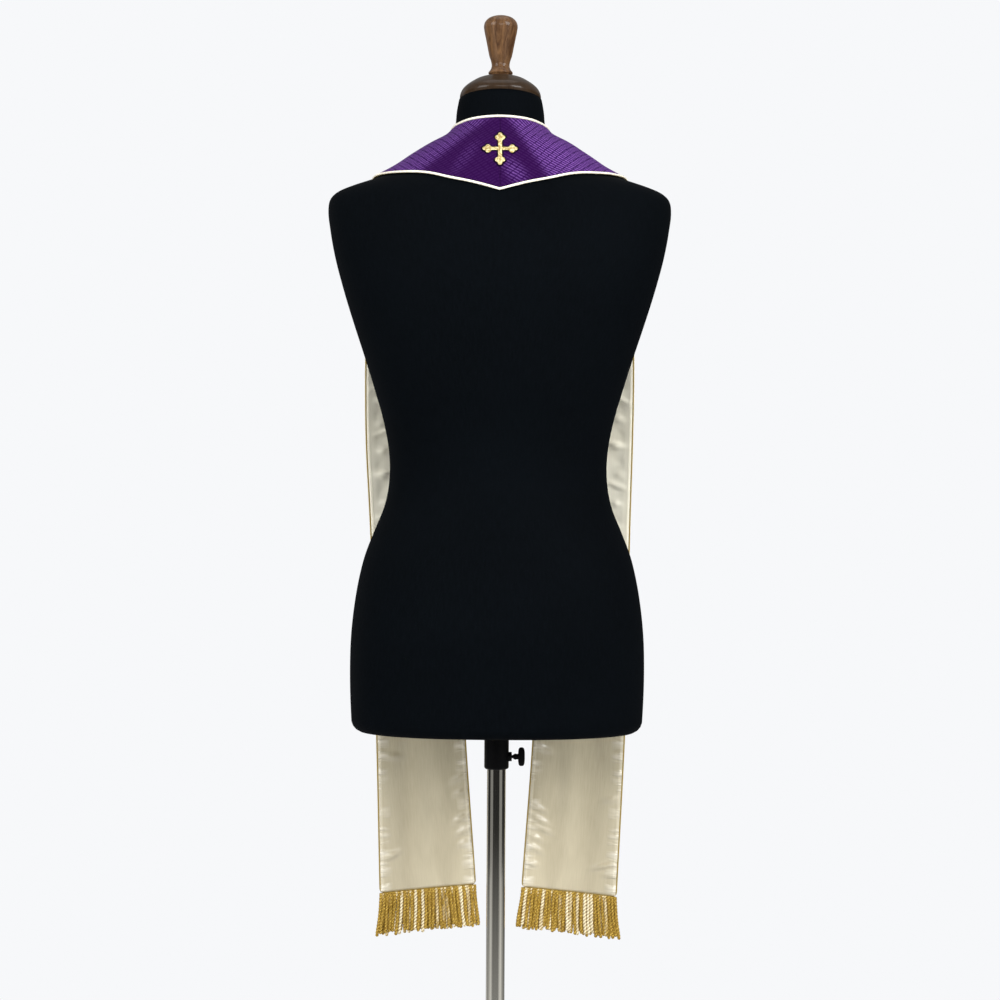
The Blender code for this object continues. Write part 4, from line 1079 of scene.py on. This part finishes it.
# Painted sparkle: fine flecks, lighter and darker, over the gilt.
painted_sparkle = add("TexNoise", (place, 900.0, 1.0))
painted_sparkle = add("MapRange", (painted_sparkle, 0.40, 0.62))
gilt = add("Mix", (painted_sparkle, "#8A6812", "#DBB855"), data_type="RGBA")
tone = add("Mix", (glint, gilt, "#FFF2CE"), data_type="RGBA")
feed(shader, {"Base Color": add("Mix", (groove_shade, "#785A16", tone), data_type="RGBA")})

for word, half in halves.items():
    chance = np.random.default_rng(FRINGE_SEED + half.side)
    middle = half.grid + half.out * LAYERS / 2
    down = unit((middle[-1] - middle[-4]).mean(axis=0))
    out = unit(half.out[-1].mean(axis=0))
    top = middle[-1] + down * HEADING_DROP - out * HEADING_BEHIND
    margin = unit(top[-1] - top[0]) * (2 * PIPING_RADIUS + LAYER_GAP)
    top = np.vstack([top[:1] - margin, top, top[-1:] + margin])
    top_share = lengths_along(top, 0) / lengths_along(top, 0)[-1]

    aside = unit(top[-1] - top[0])
    number = np.arange(2 * STRANDS - 1)
    share = (number + 1) / (2 * STRANDS)
    behind = STRAND_BACK * (number % 2)
    length = STRAND_LENGTH * (0.99 + 0.035 * np.sin(2.6 * number) + 0.025 * np.sin(5.3 * number))
    length = length * (1 + chance.normal(0, STRAND_UNEVEN, len(number))) - STRAND_RADIUS
    s = np.linspace(0, 1, STRAND_ROWS)[None, :]
    fall = s * length[:, None]
    lean = STRAND_SPREAD * (2 * share - 1) + chance.normal(0, STRAND_STRAY, len(number))
    wave = chance.uniform(0, 6.3, (2, len(number)))[..., None]
    sideways = lean[:, None] * s**1.2 + SWING_ASIDE * np.sin(5.5 * s + wave[0]) * s
    forward = SWING_FORWARD * np.sin(4.5 * s + wave[1]) * s + behind[:, None] * np.minimum(4 * s, 1)
    plumb = unit(down + np.array([0, 0, -3]))
    path = on_line(share, top_share, top)[:, None] + plumb * (fall + HEADING_HEIGHT * s)[..., None]
    path = path + aside * sideways[..., None] + out * forward[..., None]
    # Round each cord the radius goes up and down twice, and this turns as it falls.
    turn = round_angles(STRAND_SIDES)
    twist = math.pi * fall / PLY_PITCH + wave[0]
    lobe = np.abs(np.cos(turn - twist[..., None]))
    end = np.clip((length[:, None] - fall) / STRAND_RADIUS, 0, 1)
    taper = np.sqrt(1 - (1 - end) ** 2)[..., None]
    radius = STRAND_RADIUS * (1 - PLY_GROOVE + PLY_GROOVE * lobe) * np.maximum(taper, 0.05)
    points = tube(path, np.broadcast_to(out, path.shape), radius, STRAND_SIDES)
    lobe = np.concatenate([lobe[:, :1], lobe, lobe[:, -1:]], axis=1)
    lobe = np.concatenate([lobe, lobe[..., :1]], axis=2)
    # Each cord's glint share sets how much painted highlight it gets. Its lobe sets the painted groove shade.
    glint_share = chance.permutation(len(number)) / len(number)
    uv = stacked(glint_share[:, None, None], lobe)
    piece = add_piece("fringe_" + word, points, bullion, uv=uv, closed=True, flip=True)
    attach(piece, "form")
    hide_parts("stole_fringe_" + word)

    # The heading, a flat braid: a rounded bar along the hem whose face rises and falls with its ribs.
    along = np.linspace(0, 1, HEADING_ROWS)
    line = on_line(along, top_share, top) + down * HEADING_HEIGHT / 2
    ribs = np.sin(along * 2 * math.pi * STRANDS * 2)[:, None, None]
    turn = round_angles(HEADING_SIDES)[:, None]
    thick = HEADING_THICKNESS / 2 * super_power(np.cos(turn), 4) * (1 + HEADING_RELIEF * ribs)
    body = line[:, None] + out * thick + down * HEADING_HEIGHT / 2 * super_power(np.sin(turn), 4)
    # The heading's ribs get the same painted groove shade, and its glint share the same painted highlight.
    rib_shade_share = 0.5 + 0.5 * np.sin(np.r_[0, along, 1] * 2 * math.pi * STRANDS * 2)[:, None]
    fill = np.full((HEADING_ROWS + 2, HEADING_SIDES + 1), HEADING_GLINT_SHARE)
    uv = stacked(fill, rib_shade_share)
    body = capped(body, line)
    piece = add_piece("fringe_heading_" + word, body, bullion, uv=uv, closed=True, flip=half.side < 0)
    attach(piece, "form")

# ---------------------------------------------------------------- stole: cross at the back of the neck
# A budded cross in padded satin stitch, pale gold, over a slightly wider dark piece: an outline round it that
# is partly a couched cord and partly painted shadow.

CROSS_HEIGHT = 1.3945
CROSS_REACH = 0.0208  # centre to the tip of an arm
CROSSBAR_SLIMMER = 0.88  # the arms across, against the upright
CROSS_SEAT = 0.0036  # the brocade's face above the skin
BEHIND_BACK = 0.09  # a depth that is behind the torso there
# Distance from the centre, and half width there: an arm, two side lobes and an end lobe with a fine tip
ARM_OUTLINE = (
    (0.0, 0.0028), (0.0092, 0.0026), (0.0106, 0.0034), (0.0118, 0.0054), (0.0134, 0.0065),
    (0.0152, 0.0064), (0.0163, 0.0053), (0.0169, 0.0036), (0.018, 0.0031), (0.0193, 0.0025),
    (0.0202, 0.0014), (0.0206, 0.0003),
)


def drop_on_back(x, z, height):
    """Points at x and z, height above the torso's skin, found from behind it by steps of what is left."""
    points = stacked(x, BEHIND_BACK, z)
    for _ in range(12):
        gap, away = torso_gap(points)
        points[..., 1] += ((height - gap[..., 0]) / np.maximum(away[..., 1], 0.3)).clip(-0.02, 0.02)
    return points


def cross_points(wider, thickness):
    """Two bars of the cross as domed strips: along each, half its outline's width to either side, with the
    height of a flattened half circle."""
    s = np.linspace(-1, 1, 181)[:, None]
    t = np.linspace(-1, 1, 25)[None, :]
    at, half = np.array(ARM_OUTLINE).T
    half = np.interp(np.abs(s) * CROSS_REACH, at, half) + wider
    dome = thickness * np.clip(1 - np.abs(t) ** 2.6, 0, 1) ** 0.6 * np.clip((1 - np.abs(s)) * 16, 0, 1) ** 0.5
    along = s * (CROSS_REACH + wider)
    upright = drop_on_back(t * half, CROSS_HEIGHT + along, CROSS_SEAT + dome)
    crossbar = drop_on_back(along, CROSS_HEIGHT + t * half * CROSSBAR_SLIMMER, CROSS_SEAT + dome)
    place = stacked(s, t)
    return np.array([upright, crossbar[:, ::-1]]), np.array([place, place[:, ::-1]])


# Gold rayon and metal thread in satin stitch, darker along the spine of each arm, where the rows of thread
# from its two sides meet. The rows are drawn 0.8 mm apart.
gold_thread, add, shader = new_material("gold_satin_stitch", Roughness=0.38, Metallic=0.25)
place = add("TexCoord").outputs["Object"]
slanted = add("Mapping", {"Vector": place, "Rotation": (0, math.radians(38), 0)})
stitches = add("TexWave", (slanted, 400.0, 0.8))
patches = add("TexNoise", (place, 420.0, 2.0))
patches = add("MapRange", (patches, 0.42, 0.62))
tone = add("Mix", (patches, "#A98F48", "#E9DCA6"), data_type="RGBA")
across = add("SeparateXYZ", (add("UVMap"),)).outputs["Y"]
spine = add("Math", (across,), operation="ABSOLUTE")
spine = add("MapRange", (spine, 0.30, 0.10, 0.0, 0.55))
tone = add("Mix", (spine, tone, "#8A7030"), data_type="RGBA")
bump = add("Bump", {"Height": stitches, "Strength": 0.5, "Distance": 0.0004})
feed(shader, {"Base Color": tone, "Normal": bump})

# Dark outline, matt: partly a couched cord of near-black purple rayon, partly painted shadow round the cross.
cord_and_painted_shadow = grained("dark_cord_and_painted_shadow", 1200.0, "#0C0212", "#1C0A26", Roughness=0.7, Specular_IOR_Level=0.05)

for name, wider, thickness, material in (
    ("back_cross", 0.0, 0.0013, gold_thread),
    ("back_cross_outline_and_shadow", 0.0011, 0.0009, cord_and_painted_shadow),
):
    points, uv = cross_points(wider, thickness)
    piece = add_piece(name, points, material, uv=uv)
    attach(piece, "form")
    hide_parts("stole_back_cross")
